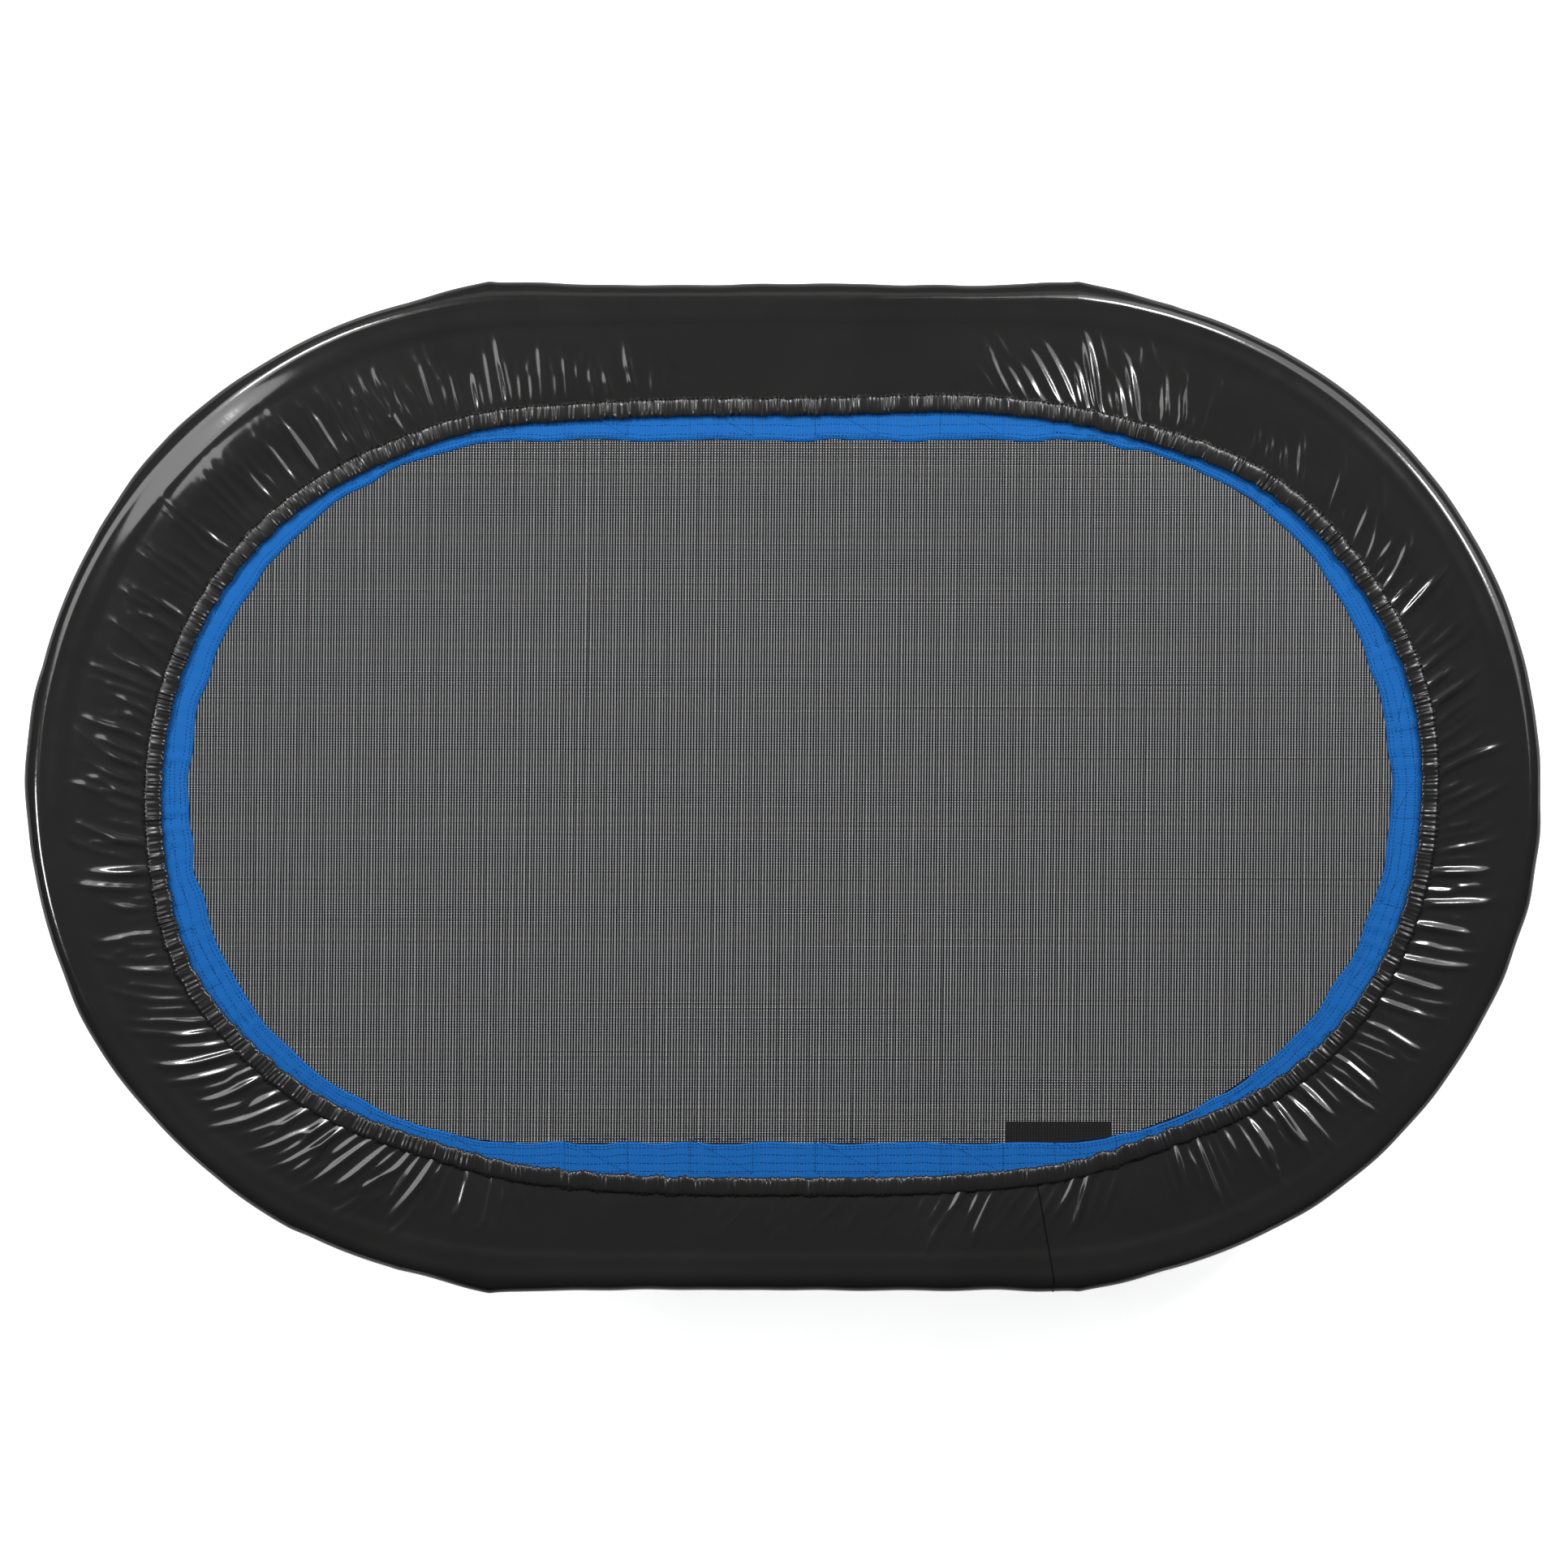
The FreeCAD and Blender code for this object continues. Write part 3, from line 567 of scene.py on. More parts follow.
class Cloth:
    """A closed band of cloth as a grid [row, column], relaxed towards its cut size."""

    def __init__(self, oval, rows_on_slope, fullness):
        self.oval = oval
        offset, z, self.share = cover_profile(rows_on_slope)
        share = self.share[:, None]
        place = offset[:, None] + share * (opening(oval) - OPENING_AT_ENDS)
        over_rail = np.exp(-(((z[:, None] - RAIL_Z) / (13 * MM)) ** 2)) * (share == 0)
        place = place + rim_swell(oval) * over_rail
        between = smoothstep(*PUFF_INNER_SLOPE, offset) * smoothstep(*PUFF_OUTER_SLOPE, offset)
        puff = drifted(oval, PUFFS) * between[:, None]
        z = z[:, None] + puff * (z > RAIL_Z)[:, None]
        self.flat = oval.points(place, z)
        shift_opening(self.flat, np.broadcast_to(share, self.flat.shape[:2]))
        own = np.linalg.norm(np.roll(self.flat, -1, axis=1) - self.flat, axis=-1)
        rim = own[int(np.argmin(np.abs(offset - (RIM - 5 * MM))))]
        # cloth that is cut as wide at its inner edge as at the rim
        surplus = oval.blurred(np.clip(rim[None] / own - 1, 0, None), 70 * MM)
        gathered, creased, reach = fullness
        # the casing takes up what is gathered right at the seam, and further out than the
        # folds reach the cloth lies smooth
        at_seam = 0.25 + 0.75 * smoothstep(1.0, 0.82, share)
        in_reach = smoothstep(1 - reach, 1 - 0.55 * reach, share)
        self.along = own * (1 + at_seam * in_reach * (surplus * gathered + creased))
        self.across = np.linalg.norm(self.flat[1:] - self.flat[:-1], axis=-1) * 1.002
        self.hold = smoothstep(0.22, 0.03, self.share)[:, None]
        self.points = self.flat.copy()
        self.last = self.points

    def pull(self, gap, cut, share):
        """The share of the way that a gap has to close to reach its cut length."""
        length = np.sqrt((gap * gap).sum(-1, keepdims=True)) + 1e-9
        return gap * (share * (1 - cut[..., None] / length))

    def relax(self, bend, round_number):
        """One round of pulling neighbours towards their cut distance: along the oval,
        across it and on the slant, near neighbours fully and next ones by the bend."""
        p = self.points
        for step, share in ((1, 0.5), (2, bend)):
            cut = self.along if step == 1 else self.along + onward(self.along, 1)
            colour = (np.arange(p.shape[1]) // step) % 2
            for turn in (0, 1):
                move = self.pull(onward(p, step) - p, cut, share)
                move[:, colour != turn] = 0
                p += move - np.roll(move, step, axis=1)
        for step, share in ((1, 0.5), (2, bend)):
            cut = self.across if step == 1 else self.across[1:] + self.across[:-1]
            colour = (np.arange(p.shape[0] - step) // step) % 2
            for turn in (0, 1):
                move = self.pull(p[step:] - p[:-step], cut, share)
                move[colour != turn] = 0
                p[:-step] += move
                p[step:] -= move
        slant = np.sqrt(((self.along[:-1] + self.along[1:]) / 2) ** 2 + self.across**2)
        for lean in (-1, 1) if round_number % 2 else (1, -1):
            move = self.pull(np.roll(p[1:], lean, axis=1) - p[:-1], slant, 0.12)
            p[:-1] += move
            p[1:] -= np.roll(move, -lean, axis=1)

    def settle(self, rounds, bend, glide=0.9):
        """Lets the cloth find its folds, held by the rail, its casing and what it lies on."""
        flat, share = self.flat, self.share
        free = 1 - self.hold
        low = flat[..., 2] - FOLD_SINKS * free - CLOTH_GIVE
        room = (0.10 + 0.90 * smoothstep(1.0, 0.72, share))[:, None]
        high = flat[..., 2] + FOLD_RISES * free * room + CLOTH_GIVE
        near_seam = smoothstep(0.93, 1.0, share)[:, None, None]
        for k in range(rounds):
            if k < rounds * 0.85:
                step = self.points - self.last
                self.last = self.points.copy()
                self.points += glide * step
            self.relax(bend, k)
            p = self.points
            p += (flat - p) * (0.35 * self.hold[..., None] ** 2)
            p[..., :2] += (flat - p)[..., :2] * (0.02 + 0.4 * near_seam)
            p[0, :, :2] = flat[0, :, :2]
            p[..., 2] -= 0.004 * MM * free
            p[..., 2] = np.clip(p[..., 2], low, high)

    def finer(self, oval, rows_on_slope, fullness):
        """The same cloth on a finer grid."""
        other = Cloth(oval, rows_on_slope, fullness)
        rows = np.interp(
            self.row_place(other.share), self.row_place(self.share), np.arange(len(self.share))
        )
        moved = self.points - self.flat
        row = np.clip(rows.astype(int), 0, len(self.share) - 2)
        part = np.clip(rows - row, 0, 1)[:, None, None]
        moved = moved[row] * (1 - part) + moved[row + 1] * part
        column = np.arange(oval.count) * self.oval.count / oval.count
        first = column.astype(int)
        part = (column - first)[None, :, None]
        # a smooth curve through the coarse points
        a, b, c, d = (moved[:, (first + k) % self.oval.count] for k in (-1, 0, 1, 2))
        cubic = (d - a) / 2 + 1.5 * (b - c)
        curve = b + part * ((c - a) / 2 + part * (a - 2.5 * b + 2 * c - d / 2 + part * cubic))
        other.points = other.flat + curve
        other.last = other.points.copy()
        return other

    def iron(self, share):
        """Takes out ripples as fine as the grid."""
        p = self.points
        p += share * ((np.roll(p, 1, axis=1) + np.roll(p, -1, axis=1)) / 2 - p)
        p[1:-1] += share * ((p[2:] + p[:-2]) / 2 - p[1:-1])

    @staticmethod
    def row_place(share):
        """Each row's place across the cloth: 0 at the seam, 1 at the crest, 2 at the hem."""
        past = share == 0
        return np.where(past, 1 + np.cumsum(past) / max(past.sum(), 1), 1 - share)


def fullness_of(oval):
    """How the cover is gathered at each station: its share of the full gather on the ends,
    the slack that creases it on the sides, and how far out its folds reach."""
    amount = 0.40 + 0.20 * oval.noise(0.42) + 0.20 * oval.noise(0.12) + drifted(oval, GATHERS)
    # single folds stand out between flatter stretches
    single = 0.7 + 0.55 * np.clip(oval.noise(0.036, 0.25), -1, 2.2)
    gathered = np.clip(amount, 0.03, 1.1) * single
    length = 0.62 + drifted(oval, FOLD_LENGTHS)
    slack = 0.006 + drifted(oval, FOLD_SLACK)
    for side, middle, half, more in SLACK_PATCHES:
        on_side = (oval.sin > 0) == (side > 0)
        slack = slack + on_side * more * np.exp(-(((oval.spine - middle) / half) ** 2))
    reach = np.clip(length + 0.24 * oval.noise(0.05), 0.22, 1.1)
    return gathered, oval.blurred(slack, 25 * MM), reach


def cover_cloth():
    """The gathered cover: a straight strip, cut to the rim's length, whose inner edge is
    drawn in to the opening by its elastic, so that it falls into folds there. The wide
    folds form first, on a coarse grid, and then the small ones near the seam."""
    rounds = FOLD_ROUNDS
    first = Oval(FOLD_GRIDS[0][0], FOLD_REFERENCE)
    fullness = fullness_of(first)
    cloth = None
    for (columns, rows), count in zip(FOLD_GRIDS, rounds):
        oval = Oval(columns, FOLD_REFERENCE)
        place = np.arange(columns) * first.count / columns
        here = [
            np.interp(place, np.arange(first.count + 1), np.append(f, f[0])) for f in fullness
        ]
        cloth = cloth.finer(oval, rows, here) if cloth else Cloth(oval, rows, here)
        free = (1 - cloth.hold) * (0.4 + 0.6 * cloth.share[:, None])
        shake = oval.noise(5 * oval.step, 0.5) + 0.7 * oval.noise(11 * oval.step, 0.5)
        cloth.points[..., 2] += 0.12 * oval.step * free * shake
        cloth.settle(count, FOLD_BEND)
    for _ in range(3):
        cloth.iron(0.25)
    p = cloth.points
    across = np.linalg.norm(p[1:] - p[:-1], axis=-1).mean(axis=1)
    obj = grid_object("gathered_cover", p, oval.step, np.append(0, np.cumsum(across)))
    smooth = obj.modifiers.new("smooth", "SUBSURF")
    smooth.levels = smooth.render_levels = 1
    return obj, p


def skirt_place(cloth):
    """How far along the cloth from its seam it turns down over the rail's outer side."""
    steps = np.linalg.norm(np.diff(cloth, axis=0), axis=-1).mean(axis=1)
    high = np.nonzero(cloth[..., 2].mean(axis=1) > RAIL_Z + 0.78 * WRAP_RADIUS)[0]
    return float(np.cumsum(steps)[high[-1]])


def casing():
    """The elastic's casing at the cover's inner edge: a flat tube of cloth, tightly
    ruched, with a seam along its outer side."""
    oval = Oval(4400, OPENING_AT_ENDS + CASING_WIDTH / 2)
    turns = 22
    around = np.linspace(0, TURN, turns, endpoint=False)
    half_width, half_height = CASING_WIDTH / 2, CASING_HEIGHT / 2
    ruche = [oval.noise(w * MM, 0.35) for w in (4.2, 5.0, 6.2)]
    slow = [oval.noise(w * MM, 0.4) for w in (16, 27, 40)]
    ruched = 0.14 + 0.20 * np.clip(slow[2] + 0.6 * slow[0], 0, None)
    inner = opening(oval)
    rows = []
    for angle in around:
        # a flattened oval section: 0 is the outer seam and half a turn the inner edge
        out = math.copysign(abs(math.cos(angle)) ** 0.75, math.cos(angle))
        up = math.sin(angle)
        mix = 0.5 + 0.5 * math.cos(angle)
        ripple = (1 - mix) * ruche[0] + mix * ruche[1] + 0.5 * math.sin(angle) * ruche[2]
        pinch = 1 - 0.65 * math.exp(-(((out - 0.86) / 0.10) ** 2))
        lift = (ruched * ripple * pinch + 0.25 * slow[0]) * MM
        uneven = (0.5 * ruche[2] * (1 - abs(up)) + 0.5 * slow[1]) * MM
        offset = inner + half_width * (1 + out) + uneven
        z = CASING_LOW + half_height * 1.1 + half_height * up * (0.75 + 0.25 * pinch) + lift
        rows.append(oval.points(offset, np.maximum(z, WEBBING_TOP + 0.4 * MM)))
    points = shift_opening(np.stack(rows), np.ones((turns, oval.count)))
    return grid_object("gathered_casing", points, oval.step, 2 * MM, closed_rows=True)


def hem_roll():
    """The rolled outer hem under the rail, drawn in by its elastic."""
    oval = Oval(1500, RIM)
    turns = 12
    around = np.linspace(0, TURN, turns, endpoint=False)
    gather = oval.noise(9 * MM, 0.35)
    rows = []
    for angle in around:
        wave = 0.35 * MM * gather
        offset = RIM - 3.4 * MM + (2.9 * MM) * math.cos(angle) + wave
        z = SKIRT_BOTTOM + 3.9 * MM + (3.4 * MM) * math.sin(angle) + wave
        rows.append(oval.points(offset, z))
    return grid_object("gathered_hem", np.stack(rows), oval.step, 2 * MM, closed_rows=True)


# ---------------------------------------------------------------- stitches


def stitch_run(path, length, gap, radius):
    """Stitches along an open path of points: small capsules, each with pinched ends."""
    sides = 6
    path = np.asarray(path, float)
    steps = np.linalg.norm(np.diff(path, axis=0), axis=1)
    reach = np.concatenate([[0], np.cumsum(steps)])
    count = int(reach[-1] / (length + gap))
    if count < 1:
        return []
    starts = (np.arange(count) + 0.5) * reach[-1] / count
    places = [-length / 2, -length / 4, length / 4, length / 2]
    sizes = [0.35, 1.0, 1.0, 0.35]
    rings = []
    for place, size in zip(places, sizes):
        centre = np.stack([np.interp(starts + place, reach, path[:, k]) for k in range(3)], axis=1)
        ahead = np.stack(
            [np.interp(starts + place + 0.2 * MM, reach, path[:, k]) for k in range(3)], axis=1
        )
        forward = ahead - centre
        forward /= np.linalg.norm(forward, axis=1)[:, None] + 1e-12
        side = np.stack([-forward[:, 1], forward[:, 0], np.zeros(count)], axis=1)
        up = np.array([0, 0, 1.0])
        angle = np.arange(sides) * TURN / sides
        ring = (
            centre[:, None]
            + radius * size * side[:, None] * np.cos(angle)[None, :, None]
            + radius * size * up * np.sin(angle)[None, :, None]
        )
        rings.append(ring)
    vertices = np.stack(rings, axis=1)
    faces = grid_faces(len(places), sides, False, True)[0]
    first = np.arange(count) * len(places) * sides
    return [(vertices.reshape(-1, 3), (faces[None] + first[:, None, None]).reshape(-1, 4))]


def casing_stitches():
    """The row of stitches along the casing's outer edge."""
    oval = Oval(2200, OPENING_AT_ENDS + CASING_WIDTH)
    offset = opening(oval) + CASING_WIDTH - 2.2 * MM + 0.35 * MM * oval.noise(0.02)
    path = shift_opening(oval.points(offset, SEAM_Z + 1.9 * MM), np.ones(oval.count))
    return stitch_run(np.concatenate([path, path[:1]]), 3.2 * MM, 1.4 * MM, 0.45 * MM)


def cross_seam(cloth):
    """The stitched seam that closes the cover's strip into a loop, near the front's end."""
    rows = np.arange(len(cloth))
    drift = np.interp(rows, [0, len(cloth) * 0.66], [250 * MM, 266 * MM])
    front = cloth[:, :, 1] < 0
    gap = np.where(front, np.abs(cloth[:, :, 0] - drift[:, None]), 9)
    path = cloth[rows, np.argmin(gap, axis=1)]
    path[:, 0] = drift
    fine = np.linspace(0, len(cloth) - 1, 400)
    path = np.stack([np.interp(fine, rows, path[:, k]) for k in range(3)], axis=1)
    path[:, 2] += 0.25 * MM
    tube = tube_points(path, 0.60 * MM, 6)
    return [(tube.reshape(-1, 3), grid_faces(len(path), 6, False, True)[0])]


# ---------------------------------------------------------------- the mat


def oval_reach(across, offset):
    """Half the oval's length at a distance from its long axis."""
    return SPINE + np.sqrt(np.maximum(offset**2 - across**2, 0))


def oval_width(along, offset):
    """Half the oval's width at a distance from its short axis."""
    past = np.maximum(np.abs(along) - SPINE, 0)
    return np.sqrt(np.maximum(offset**2 - past**2, 0))


def tapes(places, reach, width, thick, z, lean, waver, along_x):
    """Flat tapes side by side: each a four-sided bar that wavers a little."""
    segments = 14
    t = np.linspace(-1, 1, segments + 1)
    run = reach[:, None] * t
    waves = RANDOM.normal(0, 1, (len(places), 5))
    drift = sum(
        waves[:, [k]] * np.sin((k + 1) * 1.7 * t[None] + 2.1 * k + waves[:, [4]]) for k in range(4)
    )
    middle = places[:, None] + lean * run + waver * drift / 2
    shape = [(-0.5, -0.5), (0.5, -0.5), (0.5, 0.5), (-0.5, 0.5)]
    rings = []
    for side, up in shape:
        across = middle + side * width
        height = np.full_like(run, z + up * thick)
        pair = (run, across) if along_x else (across, run)
        rings.append(np.stack([*pair, height], axis=-1))
    vertices = np.stack(rings, axis=2)
    faces = grid_faces(segments + 1, 4, False, True)[0]
    last = segments * 4
    ends = [[3, 2, 1, 0], [last, last + 1, last + 2, last + 3]]
    faces = np.concatenate([faces, ends])
    if along_x:
        faces = faces[:, ::-1]
    per_tape = (segments + 1) * 4
    return (
        vertices.reshape(-1, 3),
        (faces[None] + (np.arange(len(places)) * per_tape)[:, None, None]).reshape(-1, 4),
    )


def woven_mat():
    """The mat as it is woven: wide warp tapes across the oval over thin weft tapes."""
    edge = MAT_OFFSET - 1 * MM
    middle = (MAT_LOW.z + MAT_HIGH.z) / 2
    warps = np.arange(-(SPINE + edge) + WARP_PITCH, SPINE + edge, WARP_PITCH)
    wefts = np.arange(-edge + WEFT_PITCH, edge, WEFT_PITCH)
    warps = warps + RANDOM.normal(0, 0.05 * MM, len(warps))
    wefts = wefts + RANDOM.normal(0, 0.04 * MM, len(wefts))
    parts = [
        tapes(
            warps, oval_width(warps, edge), WARP_WIDTH, WARP_THICK, middle + 0.17 * MM,
            0.012, 0.18 * MM, False,
        ),
        tapes(
            wefts, oval_reach(wefts, edge), WEFT_WIDTH, WEFT_THICK, middle - 0.10 * MM,
            0.0, 0.06 * MM, True,
        ),
    ]
    return mesh_object("woven_mat", *join_parts(parts), smooth=False)


def webbing_inner_edge(oval, stations):
    """The webbing's inner edge: off centre, squarer than the oval, and scalloped between
    the straps that pull it."""
    shift = 6 * MM * oval.cos - 4.5 * MM * oval.sin
    inner = 340 * MM + 8 * MM * oval.sin**2 + shift + drifted(oval, WEBBING_DRIFTS)
    here = oval.points(WEBBING_OUTER, 0.0)[:, :2]
    pull = np.zeros(oval.count)
    for x, angle in stations:
        strap = np.array([x + WEBBING_OUTER * math.cos(angle), WEBBING_OUTER * math.sin(angle)])
        pull += np.exp(-((np.linalg.norm(here - strap, axis=1) / (30 * MM)) ** 2))
    inner = inner + 2.2 * MM * (pull - pull.mean()) + 0.5 * MM * oval.noise(0.06)
    return np.minimum(inner, 353.5 * MM)


def edge_webbing(name, oval, inner, low, high, face_up):
    """One ring of ribbed webbing, with soft edges and a slight quilting at its seams."""
    across = np.linspace(0, 1, 18)
    rows = []
    outer = WEBBING_OUTER
    puff = 0.18 * MM
    ripple = oval.noise(0.018)
    for a in across:
        offset = inner + (outer - inner) * a
        soft = min(1.0, min(a, 1 - a) * 14)
        seams = puff * abs(math.sin(a * math.pi * 5)) * soft
        z = high - 0.5 * MM * (1 - soft) + seams + 0.12 * MM * ripple * soft
        rows.append(oval.points(offset, z if face_up else low + high - z))
    for a in across[::-1]:
        rows.append(oval.points(inner + (outer - inner) * a, low if face_up else high))
    points = np.stack(rows if face_up else rows[::-1])
    return grid_object(name, points, oval.step, WEBBING_WIDTH / len(across), closed_rows=True)


def spring_stations():
    """Every spring's (group, number in it, spine x, outward angle)."""
    found = []
    for name, side in (("front", -1), ("rear", 1)):
        for k, x in enumerate(np.linspace(-OUTER_SPRING_X, OUTER_SPRING_X, SIDE_SPRINGS)):
            found.append((name, k + 1, float(x), side * math.pi / 2))
    step = math.pi / SPRINGS_PER_END
    for name, end, middle in (("left", -1, math.pi), ("right", 1, 0.0)):
        for k in range(SPRINGS_PER_END):
            angle = middle + (k - (SPRINGS_PER_END - 1) / 2) * step
            found.append((name, k + 1, end * SPINE, angle))
    return found


def placed(points, x, angle):
    """Points made along +X from the origin, turned and moved to a station."""
    c, s = math.cos(angle), math.sin(angle)
    turned = points @ np.array([[c, s, 0], [-s, c, 0], [0, 0, 1]])
    return turned + np.array([x, 0, 0])


def webbing_stitches(oval, inner, stations):
    """Rows of stitches along the webbing, and a box of them over each strap."""
    parts = []
    top = WEBBING_TOP + 0.10 * MM
    for share in (0.06, 0.14, 0.34, 0.56, 0.78):
        offset = inner + (WEBBING_OUTER - inner) * share
        path = oval.points(offset + 0.2 * MM * oval.noise(0.03), np.full(oval.count, top))
        parts += stitch_run(np.concatenate([path, path[:1]]), 2.6 * MM, 1.4 * MM, 0.40 * MM)
    half = 31 * MM
    near, far = WEBBING_OUTER - WEBBING_WIDTH + 3 * MM, WEBBING_OUTER - 6 * MM
    box = [(near, -half), (near, half), (far, half), (far, -half), (near, -half), (far, half)]
    box = np.array([(n, t, top + 0.05 * MM) for n, t in box])
    for x, angle in stations:
        inset = 12 * MM * abs(math.sin(2 * angle)) if abs(x) > SPINE - 1e-6 else 0.0
        local = box.copy()
        local[:, 0] += np.where(local[:, 0] < (near + far) / 2, inset, 0)
        parts += stitch_run(placed(local, x, angle), 2.4 * MM, 0.9 * MM, 0.30 * MM)
    return mesh_object("webbing_stitches", *join_parts(parts))


# ---------------------------------------------------------------- springs


def coil_spring():
    """One spring's centre line along +X: a hook in the rail, the coil, a hook on the ring."""
    wire = 1.15 * MM
    mean = COIL_RADIUS - wire
    rail_inside = RAIL_OFFSET - RAIL_RADIUS
    start, end = rail_inside - 17 * MM, RING_TIP + 6 * MM
    turns, per_turn = 13, 16
    angle = np.arange(turns * per_turn + 1) / per_turn * TURN
    along = np.linspace(start, end, len(angle))
    coil = np.stack([along, mean * np.cos(angle), RAIL_Z + mean * np.sin(angle)], axis=1)
    hook_in = rail_inside + 6 * MM
    rail_hook = [
        (hook_in, 0, RAIL_Z - 6 * MM), (hook_in, 0, RAIL_Z - 2 * MM),
        (hook_in - 0.7 * MM, 0, RAIL_Z - 0.6 * MM), (hook_in - 2.2 * MM, 0, RAIL_Z),
        (rail_inside, 0, RAIL_Z), (start + 5 * MM, 0, RAIL_Z),
        (start + 2.2 * MM, mean * 0.25, RAIL_Z), (start + 0.8 * MM, mean * 0.7, RAIL_Z),
    ]
    over = RAIL_Z + 3.1 * MM
    behind = RING_TIP - 6.8 * MM
    ring_hook = [
        (end - 0.8 * MM, mean * 0.7, RAIL_Z + 1 * MM), (end - 2.4 * MM, mean * 0.2, over),
        (end - 5 * MM, 0, over), (behind + 2 * MM, 0, over),
        (behind + 0.6 * MM, 0, over - 0.6 * MM), (behind, 0, over - 2 * MM),
        (behind, 0, over - 6.5 * MM),
    ]
    return np.concatenate([rail_hook, coil, ring_hook]), wire


def springs(material, stations):
    """Thirty-four springs, each between the rail and its ring on the mat."""
    path, wire = coil_spring()
    sides = 7
    points = tube_points(path, wire, sides).reshape(-1, 3)
    faces = grid_faces(len(path), sides, False, True)[0]
    for group, number, x, angle in stations:
        obj = mesh_object(f"{group}_spring_{number:02d}", placed(points, x, angle), faces)
        obj.data.materials.append(material)
        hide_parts(f"{group}_springs")
        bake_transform(obj)


def leaf_spring(name):
    """The hairpin leaf in a leg that pushes its button out: one arm on the button and one
    on the leg's far wall."""
    low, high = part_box(f"{name}_button_spring")
    button_low, button_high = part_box(f"{name}_snap_button")
    thick = 0.5 * MM
    middle, radius = (low.y + high.y) / 2, (high.y - low.y) / 2 - thick
    bend_z = low.z + radius + thick
    turn = np.linspace(math.pi, TURN, 17)
    side = 1 if button_low.y + button_high.y > 2 * middle else -1
    y = np.concatenate([[-radius] * 4, radius * np.cos(turn), [radius] * 4])
    z = np.concatenate([
        np.linspace(high.z, bend_z, 5)[:-1], bend_z + radius * np.sin(turn),
        np.linspace(bend_z, high.z, 5)[1:],
    ])
    out = np.stack([np.gradient(z), -np.gradient(y)], axis=1)
    out /= np.linalg.norm(out, axis=1)[:, None]
    rings = []
    for x, way in ((low.x, -1), (high.x, -1), (high.x, 1), (low.x, 1)):
        across, up = y + way * thick * out[:, 0], z + way * thick * out[:, 1]
        rings.append(np.stack([np.full(len(y), x), across, up], axis=1))
    points = np.stack(rings, axis=1)
    points[..., 1] = middle + side * points[..., 1]
    last = len(y) * 4 - 4
    ends = [[3, 2, 1, 0], [last, last + 1, last + 2, last + 3]]
    faces = np.concatenate([grid_faces(len(y), 4, False, True)[0], ends])
    obj = mesh_object(f"{name}_leaf_spring", points, faces[:, ::side], smooth=False)
    obj.data.materials.append(WIRE)
    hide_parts(f"{name}_button_spring")
    x, z = (low.x + high.x) / 2, (button_low.z + button_high.z) / 2
    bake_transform(obj)


# ---------------------------------------------------------------- the stage


def add_camera():
    """Straight above, with a long lens, turned so that the front side is at the bottom."""
    data = bpy.data.cameras.new("camera")
    data.lens = 100
    data.sensor_width = 36
    view_width = 1.547
    distance = view_width * data.lens / data.sensor_width
    camera = bpy.data.objects.new("camera", data)
    camera.location = (0, 3.2 * MM, COVER_TOP + distance)
    data.clip_end = 50
    bpy.context.scene.collection.objects.link(camera)
    bpy.context.scene.camera = camera


def add_light(name, location, size, power, colour=(1, 1, 1)):
    """A rectangular light pointing at the middle of the object."""
    data = bpy.data.lights.new(name, "AREA")
    data.shape = "RECTANGLE"
    data.size, data.size_y = size
    data.energy = power
    data.color = colour
    light = bpy.data.objects.new(name, data)
    light.location = location
    direction = Vector((0, 0, RAIL_Z)) - Vector(location)
    light.rotation_euler = direction.to_track_quat("-Z", "Y").to_euler()
    bpy.context.scene.collection.objects.link(light)


def add_softbox(name, location, size, power, colour=(1, 1, 1)):
    """A large light that fades towards its edges: four rectangles, one inside the other."""
    shares = np.array([1.0, 0.8, 0.6, 0.4])
    for number, share in enumerate(shares):
        part = float(power * share**2 / (shares**2).sum())
        inner = (size[0] * float(share), size[1] * float(share))
        add_light(f"{name}_{number}", location, inner, part, colour)


def around(azimuth, elevation, distance):
    """A place round the object, from angles in degrees: azimuth 0 is +X and 90 is +Y."""
    a, e = math.radians(azimuth), math.radians(elevation)
    flat = distance * math.cos(e)
    return (flat * math.cos(a), flat * math.sin(a), RAIL_Z + distance * math.sin(e))


def add_stage():
    """A plain pale floor, soft studio lights and a dim world."""
    size = 12.0
    corners = [(-size, -size, 0), (size, -size, 0), (size, size, 0), (-size, size, 0)]
    floor = mesh_object("floor", corners, [(0, 1, 2, 3)], smooth=False)
    floor.data.materials.append(floor_material())
    add_softbox("right_key", around(42, 42, 2.4), (2.2, 1.6), 66)
    add_softbox("left_key", around(148, 50, 2.3), (1.1, 1.2), 40)
    add_softbox("rear_soft", around(95, 34, 2.6), (2.6, 0.9), 8, (0.88, 1.0, 0.92))
    for azimuth, elevation, power in GLINTS:
        add_light(f"glint_{azimuth}", around(azimuth, elevation, 2.4), (0.36, 0.30), power)
    world = bpy.data.worlds.new("world")
    world.use_nodes = True
    world.node_tree.nodes["Background"].inputs["Color"].default_value = (0.03, 0.03, 0.03, 1)
    bpy.context.scene.world = world
    bpy.context.scene.view_settings.view_transform = "Standard"


# ---------------------------------------------------------------- assembly

add_camera()
add_stage()

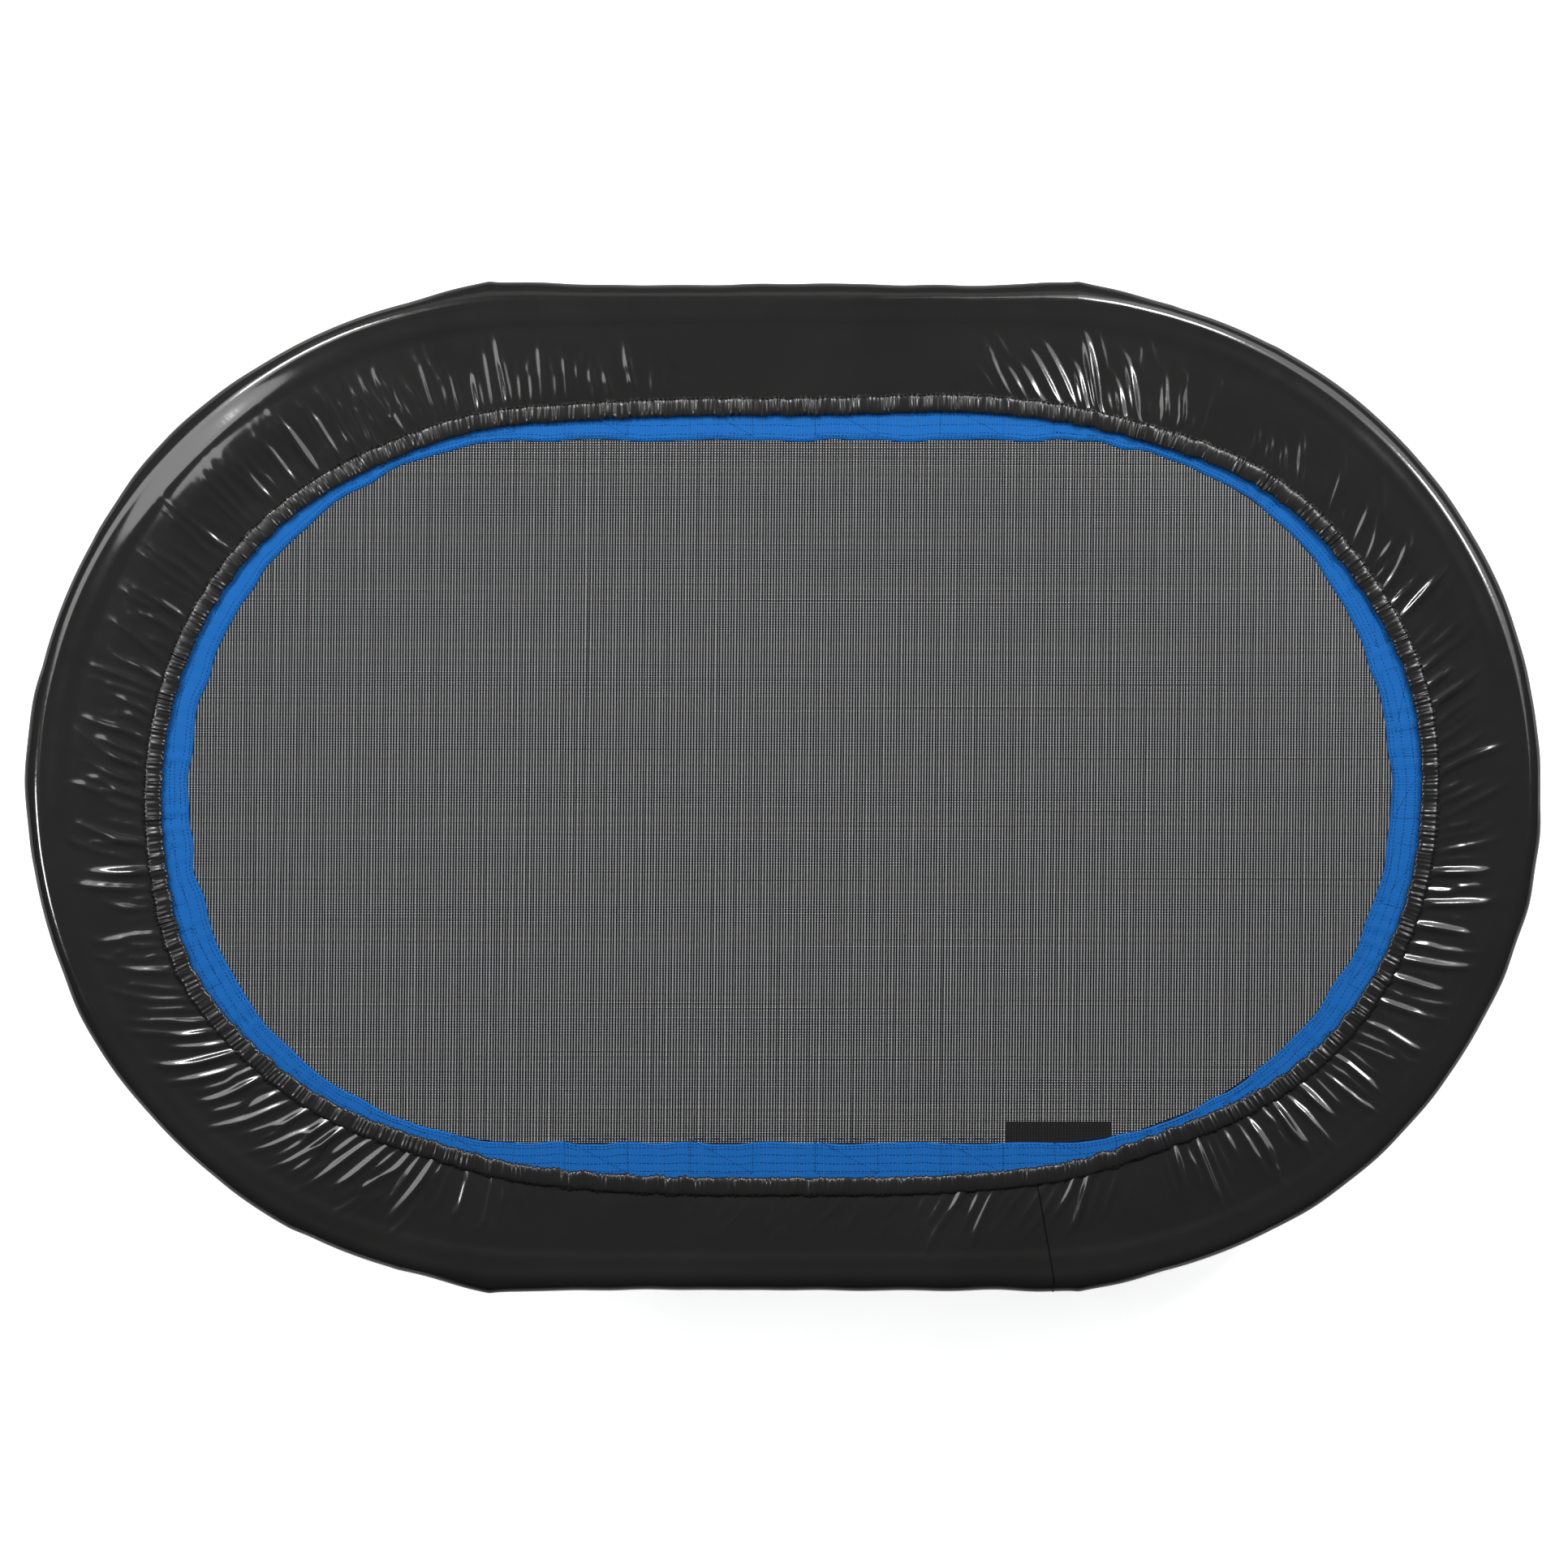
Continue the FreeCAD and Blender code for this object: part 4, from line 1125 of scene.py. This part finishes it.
POWDER = powder_coat()
BRIGHT = zinc("zinc_plate", (0.62, 0.63, 0.60), 0.30)
WIRE = zinc("spring_wire", (0.55, 0.55, 0.53), 0.28)
RUBBER = rubber()
BLUE = webbing("blue_webbing", (0.0019, 0.075, 0.268), 1.7 * MM)
BLACK_STRAP = webbing("black_strap", (0.02, 0.02, 0.022), 1.8 * MM)
BLACK_THREAD = thread("black_thread", (0.0012, 0.0012, 0.0012))
BLUE_THREAD = thread("blue_thread", (0.002, 0.026, 0.11))

COVER, CLOTH = cover_cloth()
VINYL = vinyl("vinyl", skirt_place(CLOTH), 0.55, 0.07, 0.18)
RUCHED = vinyl("ruched_vinyl", skirt_place(CLOTH), 0.28, 0.16, 0.30)
finish_piece(COVER, VINYL, "frame", ["cover_skin", "inner_elastic", "hem_elastic"])
sewing = mesh_object("cover_stitches", *join_parts(casing_stitches() + cross_seam(CLOTH)))
COVER_TRIM = [
    finish_piece(casing(), RUCHED, "frame"),
    finish_piece(hem_roll(), RUCHED, "frame"),
    finish_piece(sewing, BLACK_THREAD, "frame"),
]

MAT = finish_piece(woven_mat(), yarn(), "mat", ["jump_mat"])
STATIONS = spring_stations()
places = [(x, angle) for _, _, x, angle in STATIONS]
edge_oval = Oval(2600, WEBBING_OUTER)
inner_edge = webbing_inner_edge(edge_oval, places)
sewing = webbing_stitches(edge_oval, inner_edge, places)
MAT_TRIM = [finish_piece(sewing, BLUE_THREAD, "mat")]
for node, face_up in (("edge_webbing_top", True), ("edge_webbing_bottom", False)):
    low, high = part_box(node)
    piece = edge_webbing(f"{node}_ring", edge_oval, inner_edge, low.z, high.z, face_up)
    MAT_TRIM.append(finish_piece(piece, BLUE, "mat", [node]))
springs(WIRE, STATIONS)
for leg in ("front_left", "front_right", "rear_left", "rear_right", "left_end", "right_end"):
    leaf_spring(leg)

CAD_MATERIALS = {
    "powder_coated_steel": POWDER,
    "zinc_plated_steel": BRIGHT,
    "spring_steel": WIRE,
    "foot_rubber": RUBBER,
    "strap_webbing": BLACK_STRAP,
    "tag_cloth": tag_cloth(),
}
for part in frame["record"]["subparts"]:
    node = frame["nodes"][part["node"]]
    if node.hide_render or part["material_slot"] not in CAD_MATERIALS:
        continue
    node.data.materials.clear()
    node.data.materials.append(CAD_MATERIALS[part["material_slot"]])
